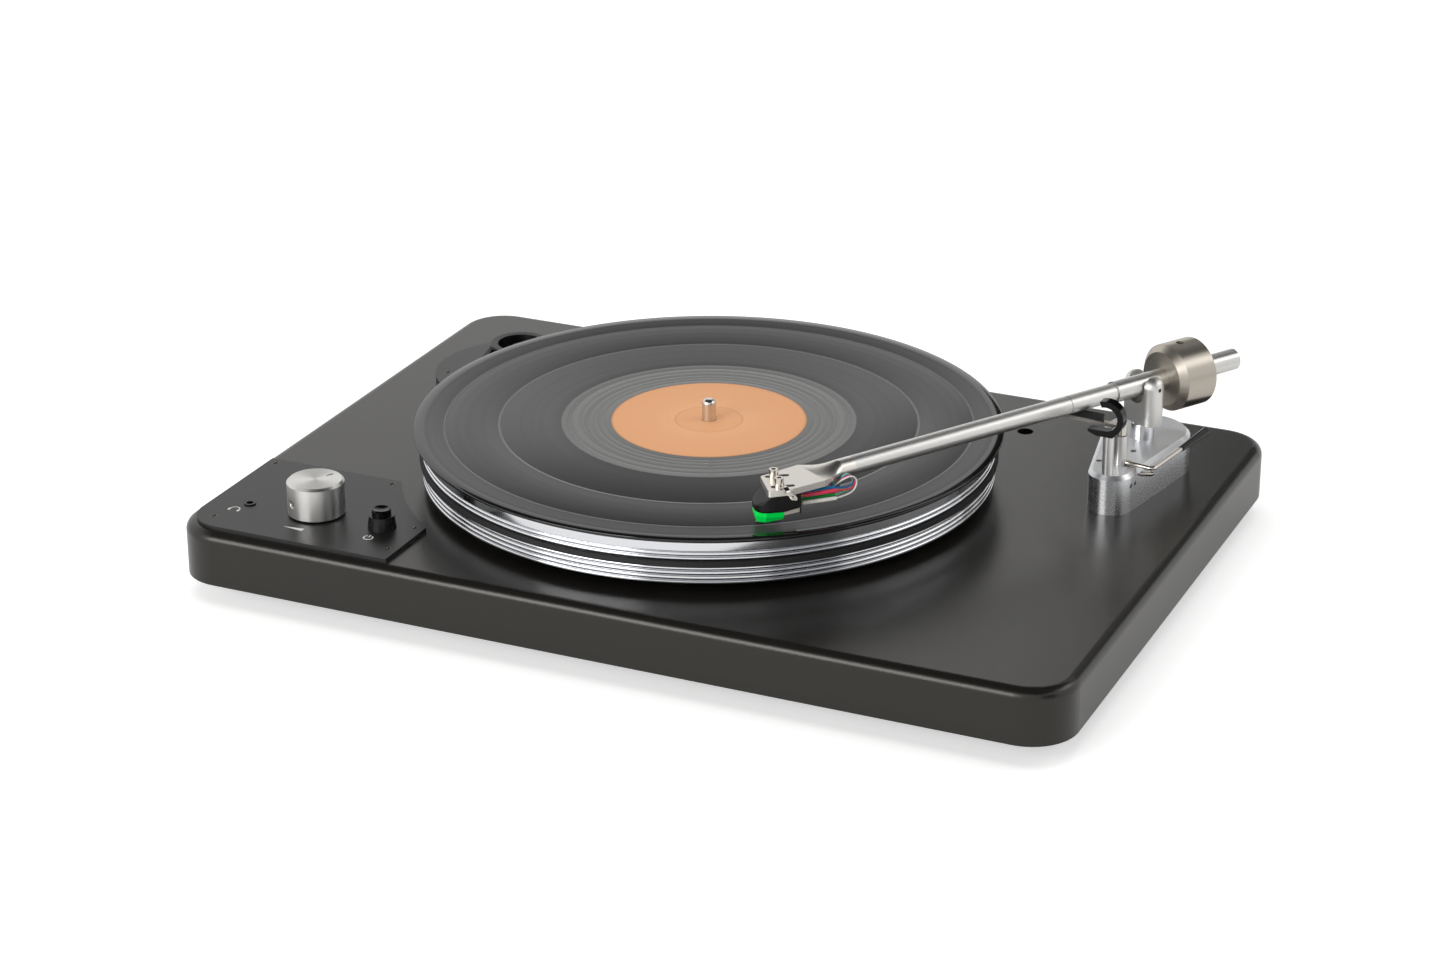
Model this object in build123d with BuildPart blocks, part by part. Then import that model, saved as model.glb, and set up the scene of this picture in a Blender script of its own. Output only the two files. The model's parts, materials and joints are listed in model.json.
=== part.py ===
from build123d import *

import os
from math import asin, cos, degrees, pi, radians, sin, sqrt, tan

# Belt-driven turntable record player with a pivoted tonearm.
# Millimetres, X to the right, Y to the back, Z up. The origin is under the middle of the plinth,
# on the plane that the feet stand on.

# Clearances, all radial
FIT_GAP = 0.05
RUN_GAP = 0.04
FREE_GAP = 0.3

# Casing
FOOT_HEIGHT = 12.0
FOOT_TOP_RADIUS = 18.0
FOOT_BOTTOM_RADIUS = 16.0
FOOT_INSET = 48.0
FOOT_EDGE = 1.5
PLINTH_LENGTH = 470.0
PLINTH_DEPTH = 339.0
PLINTH_THICKNESS = 28.0
PLINTH_CORNER = 24.0
PLINTH_TOP_ROUND = 5.2
COVER_THICKNESS = 2.0
COVER_MARGIN = 14.0
COVER_CORNER = 10.0
CHANNEL_WIDTH = 10.0
CHANNEL_DEPTH = 8.0
RECESS_X = 114.0
RECESS_Y = 119.8
RECESS_RADIUS = 4.25
RECESS_DEPTH = 9.0

# Fasteners
SCREW_HEAD_RADIUS = 2.65
SCREW_SHANK_RADIUS = 1.3
SCREW_LENGTH = 10.0
COVER_SCREW_HEAD_RADIUS = 3.5
COVER_SCREW_HEAD_HEIGHT = 2.2
COVER_SCREW_SHANK_RADIUS = 1.75
COVER_SCREW_LENGTH = 12.0
COVER_SCREW_INSET = 8.0
FOOT_SCREW_RECESS_RADIUS = 5.0
FOOT_SCREW_FLOOR = 4.0
BOLT_SHANK_RADIUS = 2.5
BOLT_HEAD_RADIUS = 4.25
BOLT_HEAD_HEIGHT = 5.0
BOLT_RECESS = 8.0
BOLT_THREAD_DEPTH = 9.0
HEX_SOCKET_RADIUS = 2.2
HEX_SOCKET_DEPTH = 2.5

# Control panel
PANEL_THICKNESS = 2.0
PANEL_EDGE_MARGIN = 5.5
PANEL_LENGTH = 115.5
PANEL_DEPTH = 87.0
PANEL_CORNER = 19.0
PANEL_ARC_RADIUS = 158.0
PANEL_SCREW_INSET = 4.8
PANEL_CORNER_SCREW_INSET = 11.5
KNOB_FROM_LEFT = 56.5
KNOB_FROM_FRONT = 35.6
KNOB_RADIUS = 14.5
KNOB_HEIGHT = 17.7
KNOB_EDGE = 1.2
KNOB_LIFT = 0.6
KNOB_RECESS_RADIUS = 7.5
KNOB_RECESS_DEPTH = 5.4
KNOB_SHAFT_RADIUS = 3.0
KNOB_SHAFT_TOP = 15.5
KNOB_POINTER_ANGLE = 35.0
KNOB_POINTER_START = 7.25
KNOB_POINTER_WIDTH = 0.8
KNOB_POINTER_DEPTH = 0.3
KNOB_SET_SCREW_RADIUS = 1.5
POT_RADIUS = 8.5
POT_DEPTH = 11.0
POT_BUSH_RADIUS = 3.6
POT_BUSH_TOP = 6.0
POT_NUT_RADIUS = 5.5
POT_NUT_HEIGHT = 2.2
BUTTON_FROM_LEFT = 95.1
BUTTON_FROM_FRONT = 33.1
BUTTON_RADIUS = 4.85
BUTTON_TOP = 12.0
BUTTON_BOTTOM = 3.5
BUTTON_DISH = 0.7
BUTTON_TRAVEL = 1.8
BUTTON_STEM_RADIUS = 2.0
BUTTON_STEM = 2.0
BUTTON_EDGE = 0.7
BUTTON_GAP = 0.1
COLLAR_BOTTOM_RADIUS = 7.2
COLLAR_TOP_RADIUS = 6.3
COLLAR_TOP = 8.6
SWITCH_BUSH_RADIUS = 5.8
SWITCH_WIDTH = 12.0
JACK_FROM_LEFT = 20.1
JACK_FROM_FRONT = 31.4
JACK_RADIUS = 3.05
JACK_BORE_RADIUS = 1.8
JACK_RIM = 0.6
JACK_BODY = 9.0
BOARD_LENGTH = 96.0
BOARD_WIDTH = 28.0
BOARD_THICKNESS = 1.6
POCKET_GAP = 1.0
POCKET_FLOOR_GAP = 2.0

# Drive: heights are over the plinth's top
SPINDLE_X = -16.0
SPINDLE_Y = 1.0
PLATTER_RADIUS = 147.0
PLATTER_BOTTOM = 4.9
PLATTER_TOP = 27.4
PLATTER_EDGE = 0.8
BEAD_GROOVE_DEPTH = 1.0
BEAD_PITCH = 2.5
PLATTER_RING_OUTER = 135.0
PLATTER_RING_INNER = 40.0
PLATTER_RING_DEPTH = 13.0
BELT_HEIGHT = 15.78
BELT_WIDTH = 2.6
BELT_THICKNESS = 2.2
BELT_SEAT_RADIUS = 145.8
MAT_RADIUS = 145.0
MAT_THICKNESS = 0.9
RECORD_RADIUS = 150.8
RECORD_THICKNESS = 1.7
RECORD_HOLE_RADIUS = 3.7
RECORD_EDGE = 0.5
LABEL_RADIUS = 50.0
LABEL_THICKNESS = 0.15
SPINDLE_SHAFT_RADIUS = 5.0
SPINDLE_FLANGE_RADIUS = 18.0
SPINDLE_FLANGE_THICKNESS = 4.0
SPINDLE_FLANGE_BOTTOM = 4.0
SPINDLE_PIN_RADIUS = 3.55
SPINDLE_PIN_TOP = 41.3
SPINDLE_PIN_ROUND = 2.4
HOUSING_FLANGE_RADIUS = 23.0
HOUSING_FLANGE_THICKNESS = 3.0
HOUSING_RADIUS = 12.0
HOUSING_FLOOR = 3.0
HOUSING_COVER_GAP = 2.0
HOUSING_SCREW_CIRCLE = 18.5
BUSH_RADIUS = 8.0
BUSH_LENGTH = 17.0
BALL_RADIUS = 3.0
BALL_GAP = 0.1
MOTOR_DISTANCE = 172.4
MOTOR_BEARING = 151.3
MOTOR_PLATE_RADIUS = 46.9
MOTOR_PLATE_THICKNESS = 2.8
MOTOR_PLATE_SCREW_CIRCLE = 40.0
MOTOR_PLATE_SCREW_ANGLE = 26.8
MOTOR_RADIUS = 30.0
MOTOR_LENGTH = 21.0
SHAFT_EDGE = 1.0
MOTOR_WELL_GAP = 3.0
MOTOR_BOSS_RADIUS = 6.0
MOTOR_BOSS_PROUD = 0.7
MOTOR_SHAFT_RADIUS = 2.5
MOTOR_SHAFT_DEPTH = 10.0
MOTOR_SCREW_CIRCLE = 22.0
PULLEY_RADIUS = 16.0
PULLEY_BOTTOM = 10.5
PULLEY_TOP = 19.4
PULLEY_FLOOR = 2.2
PULLEY_SEAT_RADIUS = 13.6
PULLEY_WALL = 1.3
PULLEY_HUB_RADIUS = 4.6
PULLEY_HUB_TOP = 17.6

# Rear connections
REAR_X = 60.0
REAR_RECESS_LENGTH = 100.0
REAR_RECESS_HEIGHT = 18.0
REAR_RECESS_DEPTH = 10.0
REAR_RECESS_LIFT = 4.0
REAR_POCKET_DEPTH = 24.5
REAR_POCKET_LEDGE = 6.0
REAR_PANEL_THICKNESS = 1.5
REAR_PANEL_GAP = 0.2
SOCKET_RADIUS = 4.15
SOCKET_FLANGE_RADIUS = 5.5
SOCKET_FLANGE_THICKNESS = 1.5
SOCKET_PIN_RADIUS = 1.6
SOCKET_REACH = 7.5
SOCKET_TAIL = 9.0
SOCKET_SPACING = 18.0
SOCKET_FIRST = -30.0
GROUND_OFFSET = 6.0
GROUND_POST_RADIUS = 2.0
GROUND_NUT_RADIUS = 4.0
GROUND_NUT_LENGTH = 4.5
INLET_OFFSET = 28.0
INLET_RADIUS = 5.6
INLET_BORE_RADIUS = 3.0
INLET_PIN_RADIUS = 1.0
INLET_REACH = 4.0
INLET_TAIL = 11.0

# Tonearm: the base, its posts and the pivot, with heights over the plinth's top
PIVOT_DISTANCE = 221.7
PIVOT_BEARING = 23.75
ARM_BEARING = 238.8
ARM_HEIGHT = 49.7
BASE_HEIGHT = 20.6
BASE_CHAMFER = 2.0
BASE_OFFSET = -0.8
BASE_FRONT = 46.5
BASE_FRONT_RADIUS = 11.6
BASE_REAR = 10.8
BASE_REAR_RADIUS = 22.3
BASE_REAR_BOLT = 15.8
GRUB_HOLE_RADIUS = 1.2
GRUB_HOLE_DEPTH = 5.0
GRUB_HOLE_HEIGHT = 14.2
GRUB_HOLE_FIRST = -0.6
GRUB_HOLE_SPACING = 4.4
TOP_HOLE_RADIUS = 1.5
TOP_HOLE_DEPTH = 4.0
LEFT_HOLE_SIDE = 9.1
LEFT_HOLE_FORWARD = 39.2
MIDDLE_HOLE_SIDE = 2.9
MIDDLE_HOLE_FORWARD = 20.2
PILLAR_RADIUS = 6.0
PILLAR_SOCKET = 8.0
PILLAR_FLOOR = 1.0
PILLAR_EDGE = 0.5
YOKE_GAP = 0.3
BEARING_RADIUS = 4.5
BEARING_LENGTH = 3.0
YAW_SHAFT_RADIUS = 2.5
YAW_SHAFT_SEAT = 4.0
YOKE_WIDTH = 24.0
YOKE_DEPTH = 11.5
YOKE_BOTTOM = 29.8
YOKE_SLOT_GAP = 0.6
YOKE_SLOT_DEPTH = 9.0
PIVOT_SCREW_RADIUS = 1.0
PIVOT_TIP_RADIUS = 0.8
PIVOT_TIP_ENGAGE = 0.5
PIVOT_SCREW_RECESS = 0.6

# Arm: distances along it run from the pivot towards the stylus
TUBE_RADIUS = 4.75
TUBE_WALL = 1.0
TUBE_START = -4.0
TUBE_END = 186.0
SLEEVE_RADIUS = 5.55
SLEEVE_FRONT = 21.0
SLEEVE_REAR = -61.3
SLEEVE_EDGE = 0.8
WEIGHT_RADIUS = 17.5
WEIGHT_FRONT = -11.5
WEIGHT_LENGTH = 22.4
WEIGHT_CHAMFER = 3.5
WEIGHT_EDGE = 0.6
WEIGHT_SCREW_RADIUS = 2.0

# Headshell and cartridge: sideways distances run to the arm's outer side
NECK_LENGTH = 8.0
NECK_SPIGOT = 10.0
SHELL_ROOT = 208.0
SHELL_TOP = 1.0
SHELL_THICKNESS = 3.2
SHELL_ROOT_INNER = -13.4
SHELL_ROOT_OUTER = 9.5
SHELL_INNER_LENGTH = 22.7
SHELL_NOSE_INNER_SIDE = -12.3
SHELL_TIP_LENGTH = 30.1
SHELL_NOSE_TIP_SIDE = 4.9
SHELL_OUTER_LENGTH = 18.7
SHELL_OUTER_BEND_SIDE = 9.0
SHELL_CORNER = 1.2
CARTRIDGE_ALONG = 228.0
CARTRIDGE_SIDE = -2.9
OFFSET_ANGLE = 23.2
SLOT_SPACING = 12.7
SLOT_BACK = 7.7
SLOT_FRONT = 4.2
SLOT_RADIUS = 1.3
CARTRIDGE_HALF_WIDTH = 8.2
CARTRIDGE_REAR = 10.5
CARTRIDGE_FLAT = 2.5
CARTRIDGE_NOSE = 13.2
CARTRIDGE_HEIGHT = 10.8
CARTRIDGE_TAIL = 13.0
CARTRIDGE_TAIL_THICKNESS = 1.2
CARTRIDGE_NOSE_ROUND = 3.5
CARTRIDGE_BROW = 11.0
CARTRIDGE_BROW_DROP = 3.24
CARTRIDGE_NOSE_DROP = 6.8
CARTRIDGE_CHIN = 12.8
CARTRIDGE_CHIN_DROP = 9.4
SHIELD_HALF_WIDTH = 6.6
SHIELD_LENGTH = 7.6
SHIELD_HEIGHT = 2.4
STYLUS_REAR = -1.5
STYLUS_FRONT = 13.9
STYLUS_DROP = 4.8
STYLUS_LIP = 0.5
STYLUS_BEAK = 12.4
STYLUS_BEAK_LIFT = 0.6
STYLUS_HEEL = 9.5
STYLUS_HEEL_LIFT = 1.4
STYLUS_TOP_HALF_WIDTH = 7.2
STYLUS_BOTTOM_HALF_WIDTH = 5.0
STYLUS_GROOVE_HALF_WIDTH = 1.0
STYLUS_GROOVE_START = 3.0
STYLUS_GROOVE_DEPTH = 2.9
CANTILEVER_RADIUS = 0.25
CANTILEVER_LENGTH = 7.5
CANTILEVER_SLOPE = 24.0
STYLUS_TIP_GAP = 0.3
PIN_RADIUS = 0.6
PIN_LENGTH = 3.5
PIN_SPREAD = 2.0
PIN_UPPER = 4.3
PIN_LOWER = 8.3
CAP_SCREW_RADIUS = 1.2
CAP_SCREW_HEAD_RADIUS = 2.25
CAP_SCREW_HEAD_HEIGHT = 3.2
CAP_SCREW_DEPTH = 5.0
WASHER_RADIUS = 2.5
WASHER_THICKNESS = 0.6
FINGER_WIDTH = 3.0
FINGER_THICKNESS = 0.8
FINGER_CLEARANCE = 1.05
FINGER_DROP = 5.0
FINGER_SPOON = 5.5

# Leads from the cartridge pins into the headshell's neck
LEAD_RADIUS = 0.4
LEAD_TAG_RADIUS = 0.85
LEAD_TAG_LENGTH = 17.0
LEAD_TAG_RISE = 1.1
LEAD_ENTRY_RADIUS = 2.6
LEAD_ENTRY_ALONG = 198.4
LEAD_ENTRY_SIDE = -0.2
LEAD_SPACING = 1.2

# Arm rest, arm lift and cue lever
REST_FORWARD = 53.3
REST_OFFSET = -0.9
REST_POST_RADIUS = 2.8
REST_POST_SOCKET = 6.0
PARKED_BEARING = 267.6
CLIP_OUTER_RADIUS = 9.5
CLIP_INNER_RADIUS = 6.3
CLIP_THICKNESS = 5.5
CLIP_OFFSET = -1.3
CLIP_RISE = 0.8
CLIP_JAW_REACH = 9.0
CLIP_UPPER_ANGLE = 110.0
CLIP_FOOT_ANGLE = 48.0
CLIP_JAW_TIP = 1.4
LIFT_FORWARD = 38.2
LIFT_OFFSET = 0.9
LIFT_POST_RADIUS = 3.4
LIFT_POST_TOP = 36.2
LIFT_POST_SOCKET = 5.0
PLUNGER_RADIUS = 1.5
LIFT_HUB_RADIUS = 2.75
LIFT_HUB_BOTTOM = 36.6
LIFT_HUB_HEIGHT = 5.4
LIFT_BAR_BOTTOM = 39.4
LIFT_BAR_THICKNESS = 2.0
LIFT_BAR_WIDTH = 3.2
LIFT_BAR_REACH = 40.6
LIFT_BAR_BACK = 4.3
LIFT_BAR_BOW = 0.8
LIFT_PAD_START = 10.3
LIFT_PAD_HEIGHT = 3.1
LIFT_PAD_WIDTH = 3.0
LEVER_HEIGHT = 22.0
LEVER_RADIUS = 1.1
LEVER_INNER_END = 2.0
LEVER_COLLAR_START = 3.8
LEVER_COLLAR_LENGTH = 2.0
LEVER_COLLAR_RADIUS = 1.3
LEVER_OUT = 18.7
LEVER_BEND = 2.5
LEVER_LENGTH = 29.5
LEVER_ELEVATION = 1.5
HANDLE_LENGTH = 27.5
HANDLE_OVERLAP = 5.0
HANDLE_START_RADIUS = 1.5
HANDLE_END_RADIUS = 2.2
HANDLE_ROUND = 0.8
STOP_RADIUS = 1.25
STOP_HEIGHT = 16.7
STOP_BACK = 2.5
STOP_TILT = 15.0
STOP_SEAT = 4.0
STOP_REACH = 7.8
STOP_POINT = 2.4

# Derived heights, places and planes
PLINTH_BOTTOM = FOOT_HEIGHT
TOP = FOOT_HEIGHT + PLINTH_THICKNESS
COVER_TOP = PLINTH_BOTTOM + COVER_THICKNESS
PANEL_TOP = TOP + PANEL_THICKNESS
PANEL_LEFT = PANEL_EDGE_MARGIN - PLINTH_LENGTH / 2
PANEL_FRONT = PANEL_EDGE_MARGIN - PLINTH_DEPTH / 2
PANEL_RIGHT = PANEL_LEFT + PANEL_LENGTH
PANEL_BACK = PANEL_FRONT + PANEL_DEPTH
KNOB_X = PANEL_LEFT + KNOB_FROM_LEFT
KNOB_Y = PANEL_FRONT + KNOB_FROM_FRONT
BUTTON_X = PANEL_LEFT + BUTTON_FROM_LEFT
BUTTON_Y = PANEL_FRONT + BUTTON_FROM_FRONT
JACK_X = PANEL_LEFT + JACK_FROM_LEFT
JACK_Y = PANEL_FRONT + JACK_FROM_FRONT
BOARD_X = (JACK_X + BUTTON_X) / 2
BOARD_Y = (KNOB_Y + BUTTON_Y + JACK_Y) / 3
MOTOR_X = SPINDLE_X + MOTOR_DISTANCE * cos(radians(MOTOR_BEARING))
MOTOR_Y = SPINDLE_Y + MOTOR_DISTANCE * sin(radians(MOTOR_BEARING))
MOTOR_PLATE_TOP = TOP + MOTOR_PLATE_THICKNESS
HOUSING_TOP = TOP + HOUSING_FLANGE_THICKNESS
HOUSING_BOTTOM = COVER_TOP + HOUSING_COVER_GAP
BALL_CENTRE = HOUSING_BOTTOM + HOUSING_FLOOR + BALL_RADIUS
RECORD_TOP = PLATTER_TOP + MAT_THICKNESS + RECORD_THICKNESS
REAR_Y = PLINTH_DEPTH / 2 - REAR_RECESS_DEPTH
REAR_Z = PLINTH_BOTTOM + REAR_RECESS_LIFT + REAR_RECESS_HEIGHT / 2
PIVOT_X = SPINDLE_X + PIVOT_DISTANCE * cos(radians(PIVOT_BEARING))
PIVOT_Y = SPINDLE_Y + PIVOT_DISTANCE * sin(radians(PIVOT_BEARING))
BASE_TOP = TOP + BASE_HEIGHT
BASE_X = PIVOT_X + BASE_OFFSET
BASE_FRONT_Y = PIVOT_Y - BASE_FRONT
BASE_REAR_Y = PIVOT_Y + BASE_REAR
REST_X = PIVOT_X + REST_OFFSET
REST_Y = PIVOT_Y - REST_FORWARD
LIFT_X = PIVOT_X + LIFT_OFFSET
LIFT_Y = PIVOT_Y - LIFT_FORWARD
SHELL_BOTTOM = SHELL_TOP - SHELL_THICKNESS

# The arm's own plane: x along it, y to its outer side, z up, at the pivot
ARM_AXIS = Vector(cos(radians(ARM_BEARING)), sin(radians(ARM_BEARING)), 0)
ARM = Plane((PIVOT_X, PIVOT_Y, TOP + ARM_HEIGHT), x_dir=ARM_AXIS, z_dir=(0, 0, 1))
# The cartridge's plane at the headshell's underside: x forwards, y to the outer side
CARTRIDGE_AXIS = ARM_AXIS.rotate(Axis.Z, -OFFSET_ANGLE)
CARTRIDGE = Plane(
    ARM.from_local_coords((CARTRIDGE_ALONG, CARTRIDGE_SIDE, SHELL_BOTTOM)),
    x_dir=CARTRIDGE_AXIS,
    z_dir=(0, 0, 1),
)
# The base's right wall leans in towards the front by this angle
BASE_TAPER = degrees(asin((BASE_REAR_RADIUS - BASE_FRONT_RADIUS) / (BASE_FRONT + BASE_REAR)))
WALL_OUT = Vector(1, 0, 0).rotate(Axis.Z, -BASE_TAPER)
WALL_BACK = Vector(0, 1, 0).rotate(Axis.Z, -BASE_TAPER)


def across_arm(along):
    """Plane across the arm at a distance from the pivot: x to the outer side, y up."""
    return Plane(ARM.from_local_coords((along, 0, 0)), x_dir=ARM.y_dir, z_dir=ARM.x_dir)


def arm_level(height):
    """Level plane over or under the arm's axis: x along the arm, y to its outer side."""
    return ARM.offset(height)


def cartridge_side(side):
    """Upright plane along the cartridge: x forwards, y up, at a distance to the outer side."""
    return Plane(
        CARTRIDGE.from_local_coords((0, side, 0)),
        x_dir=CARTRIDGE.x_dir,
        z_dir=-CARTRIDGE.y_dir,
    )


def upright(x, y):
    """Upright plane through a vertical axis, for the half profiles that are turned about it."""
    return Plane((x, y, 0), x_dir=(1, 0, 0), z_dir=(0, -1, 0))


def turned(x, y):
    """The vertical axis at a place on the plinth."""
    return Axis((x, y, 0), (0, 0, 1))


os.makedirs("parts", exist_ok=True)

# Screw places, shared by the plates and what lies under them
arc_screw_radius = PANEL_ARC_RADIUS + PANEL_SCREW_INSET
back_screw_y = PANEL_BACK - PANEL_SCREW_INSET
right_screw_x = PANEL_RIGHT - PANEL_SCREW_INSET
panel_screws = [
    (PANEL_LEFT + PANEL_SCREW_INSET, back_screw_y),
    (PANEL_LEFT + PANEL_CORNER_SCREW_INSET, PANEL_FRONT + PANEL_CORNER_SCREW_INSET),
    (right_screw_x, PANEL_FRONT + PANEL_CORNER_SCREW_INSET),
    (SPINDLE_X - sqrt(arc_screw_radius**2 - (back_screw_y - SPINDLE_Y) ** 2), back_screw_y),
    (right_screw_x, SPINDLE_Y - sqrt(arc_screw_radius**2 - (right_screw_x - SPINDLE_X) ** 2)),
]
plate_screws = [
    (
        MOTOR_X + MOTOR_PLATE_SCREW_CIRCLE * cos(radians(MOTOR_PLATE_SCREW_ANGLE + 90 * turn)),
        MOTOR_Y + MOTOR_PLATE_SCREW_CIRCLE * sin(radians(MOTOR_PLATE_SCREW_ANGLE + 90 * turn)),
    )
    for turn in range(4)
]
motor_screws = [(MOTOR_X, MOTOR_Y + side * MOTOR_SCREW_CIRCLE) for side in (-1, 1)]
housing_screws = [
    (
        SPINDLE_X + HOUSING_SCREW_CIRCLE * cos(radians(90 + 120 * turn)),
        SPINDLE_Y + HOUSING_SCREW_CIRCLE * sin(radians(90 + 120 * turn)),
    )
    for turn in range(3)
]
cover_length = PLINTH_LENGTH - 2 * COVER_MARGIN
cover_depth = PLINTH_DEPTH - 2 * COVER_MARGIN
side_screw_x = cover_length / 2 - COVER_SCREW_INSET
edge_screw_y = cover_depth / 2 - COVER_SCREW_INSET
cover_screws = [(x * side_screw_x, y * cover_depth / 4) for x in (-1, 1) for y in (-1, 1)]
cover_screws += [(x * cover_length / 4, y * edge_screw_y) for x in (-1, 1) for y in (-1, 1)]
foot_x = PLINTH_LENGTH / 2 - FOOT_INSET
foot_y = PLINTH_DEPTH / 2 - FOOT_INSET
feet_places = [(x * foot_x, y * foot_y) for x in (-1, 1) for y in (-1, 1)]
base_bolts_places = [(BASE_X, BASE_FRONT_Y), (BASE_X, PIVOT_Y + BASE_REAR_BOLT)]
pilot_radius = SCREW_SHANK_RADIUS + FIT_GAP
cover_pilot_radius = COVER_SCREW_SHANK_RADIUS + FIT_GAP
board_top = TOP - POT_DEPTH
pocket_floor = board_top - BOARD_THICKNESS - POCKET_FLOOR_GAP
wire_hole_radius = CHANNEL_WIDTH / 2 - 1

# Plinth: a slab with rounded corners and a rounded top edge, routed out for what it carries
with BuildPart() as plinth:
    with BuildSketch(Plane.XY.offset(PLINTH_BOTTOM)):
        RectangleRounded(PLINTH_LENGTH, PLINTH_DEPTH, PLINTH_CORNER)
    extrude(amount=PLINTH_THICKNESS)
    fillet(plinth.faces().sort_by(Axis.Z)[-1].edges(), PLINTH_TOP_ROUND)
    # Rebate for the bottom cover, and the wire channels over it
    with BuildSketch(Plane.XY.offset(PLINTH_BOTTOM)):
        RectangleRounded(cover_length, cover_depth, COVER_CORNER)
    extrude(amount=COVER_THICKNESS, mode=Mode.SUBTRACT)
    rear_pocket_y = REAR_Y - REAR_POCKET_DEPTH
    with BuildSketch(Plane.XY.offset(COVER_TOP)):
        for start in ((MOTOR_X, MOTOR_Y), (PIVOT_X, PIVOT_Y)):
            with BuildLine():
                Line(start, (REAR_X, rear_pocket_y + CHANNEL_WIDTH / 2))
            trace(line_width=CHANNEL_WIDTH)
        with BuildLine():
            Line((BOARD_X, BOARD_Y), (MOTOR_X, MOTOR_Y))
        trace(line_width=CHANNEL_WIDTH)
    extrude(amount=CHANNEL_DEPTH, mode=Mode.SUBTRACT)
    # Bearing hole, motor well and the wire holes
    with BuildSketch(Plane.XY.offset(PLINTH_BOTTOM)):
        with Locations((SPINDLE_X, SPINDLE_Y)):
            Circle(HOUSING_RADIUS + FIT_GAP)
        with Locations((MOTOR_X, MOTOR_Y)):
            Circle(MOTOR_RADIUS + MOTOR_WELL_GAP)
        with Locations((PIVOT_X, PIVOT_Y), (BOARD_X, BOARD_Y)):
            Circle(wire_hole_radius)
    extrude(amount=PLINTH_THICKNESS, mode=Mode.SUBTRACT)
    # Pocket under the control panel
    with BuildSketch(Plane.XY.offset(pocket_floor)):
        with Locations((BOARD_X, BOARD_Y)):
            RectangleRounded(BOARD_LENGTH + 2 * POCKET_GAP, BOARD_WIDTH + 2 * POCKET_GAP, POCKET_GAP)
    extrude(amount=TOP - pocket_floor, mode=Mode.SUBTRACT)
    # Rear recess for the connections, with a pocket behind it for their tails
    with BuildSketch(Plane.XZ.offset(-REAR_Y)):
        with Locations((REAR_X, REAR_Z)):
            Rectangle(REAR_RECESS_LENGTH, REAR_RECESS_HEIGHT)
    extrude(amount=-REAR_RECESS_DEPTH, mode=Mode.SUBTRACT)
    with BuildSketch(Plane.XY.offset(COVER_TOP)):
        with Locations((REAR_X, REAR_Y - REAR_POCKET_DEPTH / 2)):
            Rectangle(REAR_RECESS_LENGTH - 2 * REAR_POCKET_LEDGE, REAR_POCKET_DEPTH)
    extrude(
        amount=REAR_RECESS_LIFT + REAR_RECESS_HEIGHT - 2 * COVER_THICKNESS,
        mode=Mode.SUBTRACT,
    )
    # Pilot holes from above and below, bolt holes, and the recess with its screw
    for places, thickness in (
        (panel_screws, PANEL_THICKNESS),
        (plate_screws, MOTOR_PLATE_THICKNESS),
        (housing_screws, HOUSING_FLANGE_THICKNESS),
    ):
        with Locations(*[(x, y, TOP) for x, y in places]):
            Hole(pilot_radius, depth=SCREW_LENGTH - thickness + FREE_GAP)
    with BuildSketch(Plane.XY.offset(PLINTH_BOTTOM)):
        with Locations(*cover_screws):
            Circle(cover_pilot_radius)
    extrude(amount=COVER_SCREW_LENGTH + FREE_GAP, mode=Mode.SUBTRACT)
    with BuildSketch(Plane.XY.offset(PLINTH_BOTTOM)):
        with Locations(*feet_places):
            Circle(cover_pilot_radius)
    extrude(amount=COVER_SCREW_LENGTH - FOOT_SCREW_FLOOR + FREE_GAP, mode=Mode.SUBTRACT)
    with BuildSketch(Plane.XY.offset(PLINTH_BOTTOM)):
        with Locations(*base_bolts_places):
            Circle(BOLT_SHANK_RADIUS + FIT_GAP)
    extrude(amount=PLINTH_THICKNESS, mode=Mode.SUBTRACT)
    with BuildSketch(Plane.XY.offset(COVER_TOP)):
        with Locations(*base_bolts_places):
            Circle(BOLT_HEAD_RADIUS + FREE_GAP)
    extrude(amount=BOLT_RECESS, mode=Mode.SUBTRACT)
    with Locations((RECESS_X, RECESS_Y, TOP)):
        Hole(RECESS_RADIUS, depth=RECESS_DEPTH)
        Hole(cover_pilot_radius, depth=RECESS_DEPTH + COVER_SCREW_LENGTH + FREE_GAP)
plinth.part.label = "plinth"
export_step(plinth.part, "parts/plinth.step")

# Bottom cover: a sheet let into the plinth's underside
with BuildPart() as bottom_cover:
    with BuildSketch(Plane.XY.offset(PLINTH_BOTTOM)):
        RectangleRounded(cover_length - 2 * FIT_GAP, cover_depth - 2 * FIT_GAP, COVER_CORNER - FIT_GAP)
        with Locations(*cover_screws, *feet_places):
            Circle(cover_pilot_radius, mode=Mode.SUBTRACT)
    extrude(amount=COVER_THICKNESS)
bottom_cover.part.label = "bottom_cover"
export_step(bottom_cover.part, "parts/bottom_cover.step")

# One pan-head screw, driven upwards, with its head under the seat at the origin
with BuildPart() as pan_screw:
    with BuildSketch(Plane.XZ):
        with BuildLine():
            Polyline(
                (0, -COVER_SCREW_HEAD_HEIGHT),
                (COVER_SCREW_HEAD_RADIUS - COVER_SCREW_HEAD_HEIGHT / 2, -COVER_SCREW_HEAD_HEIGHT),
                (COVER_SCREW_HEAD_RADIUS, -COVER_SCREW_HEAD_HEIGHT / 2),
                (COVER_SCREW_HEAD_RADIUS, 0),
                (COVER_SCREW_SHANK_RADIUS, 0),
                (COVER_SCREW_SHANK_RADIUS, COVER_SCREW_LENGTH - COVER_SCREW_SHANK_RADIUS),
                (0, COVER_SCREW_LENGTH),
                close=True,
            )
        make_face()
    revolve(axis=Axis.Z)

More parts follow.
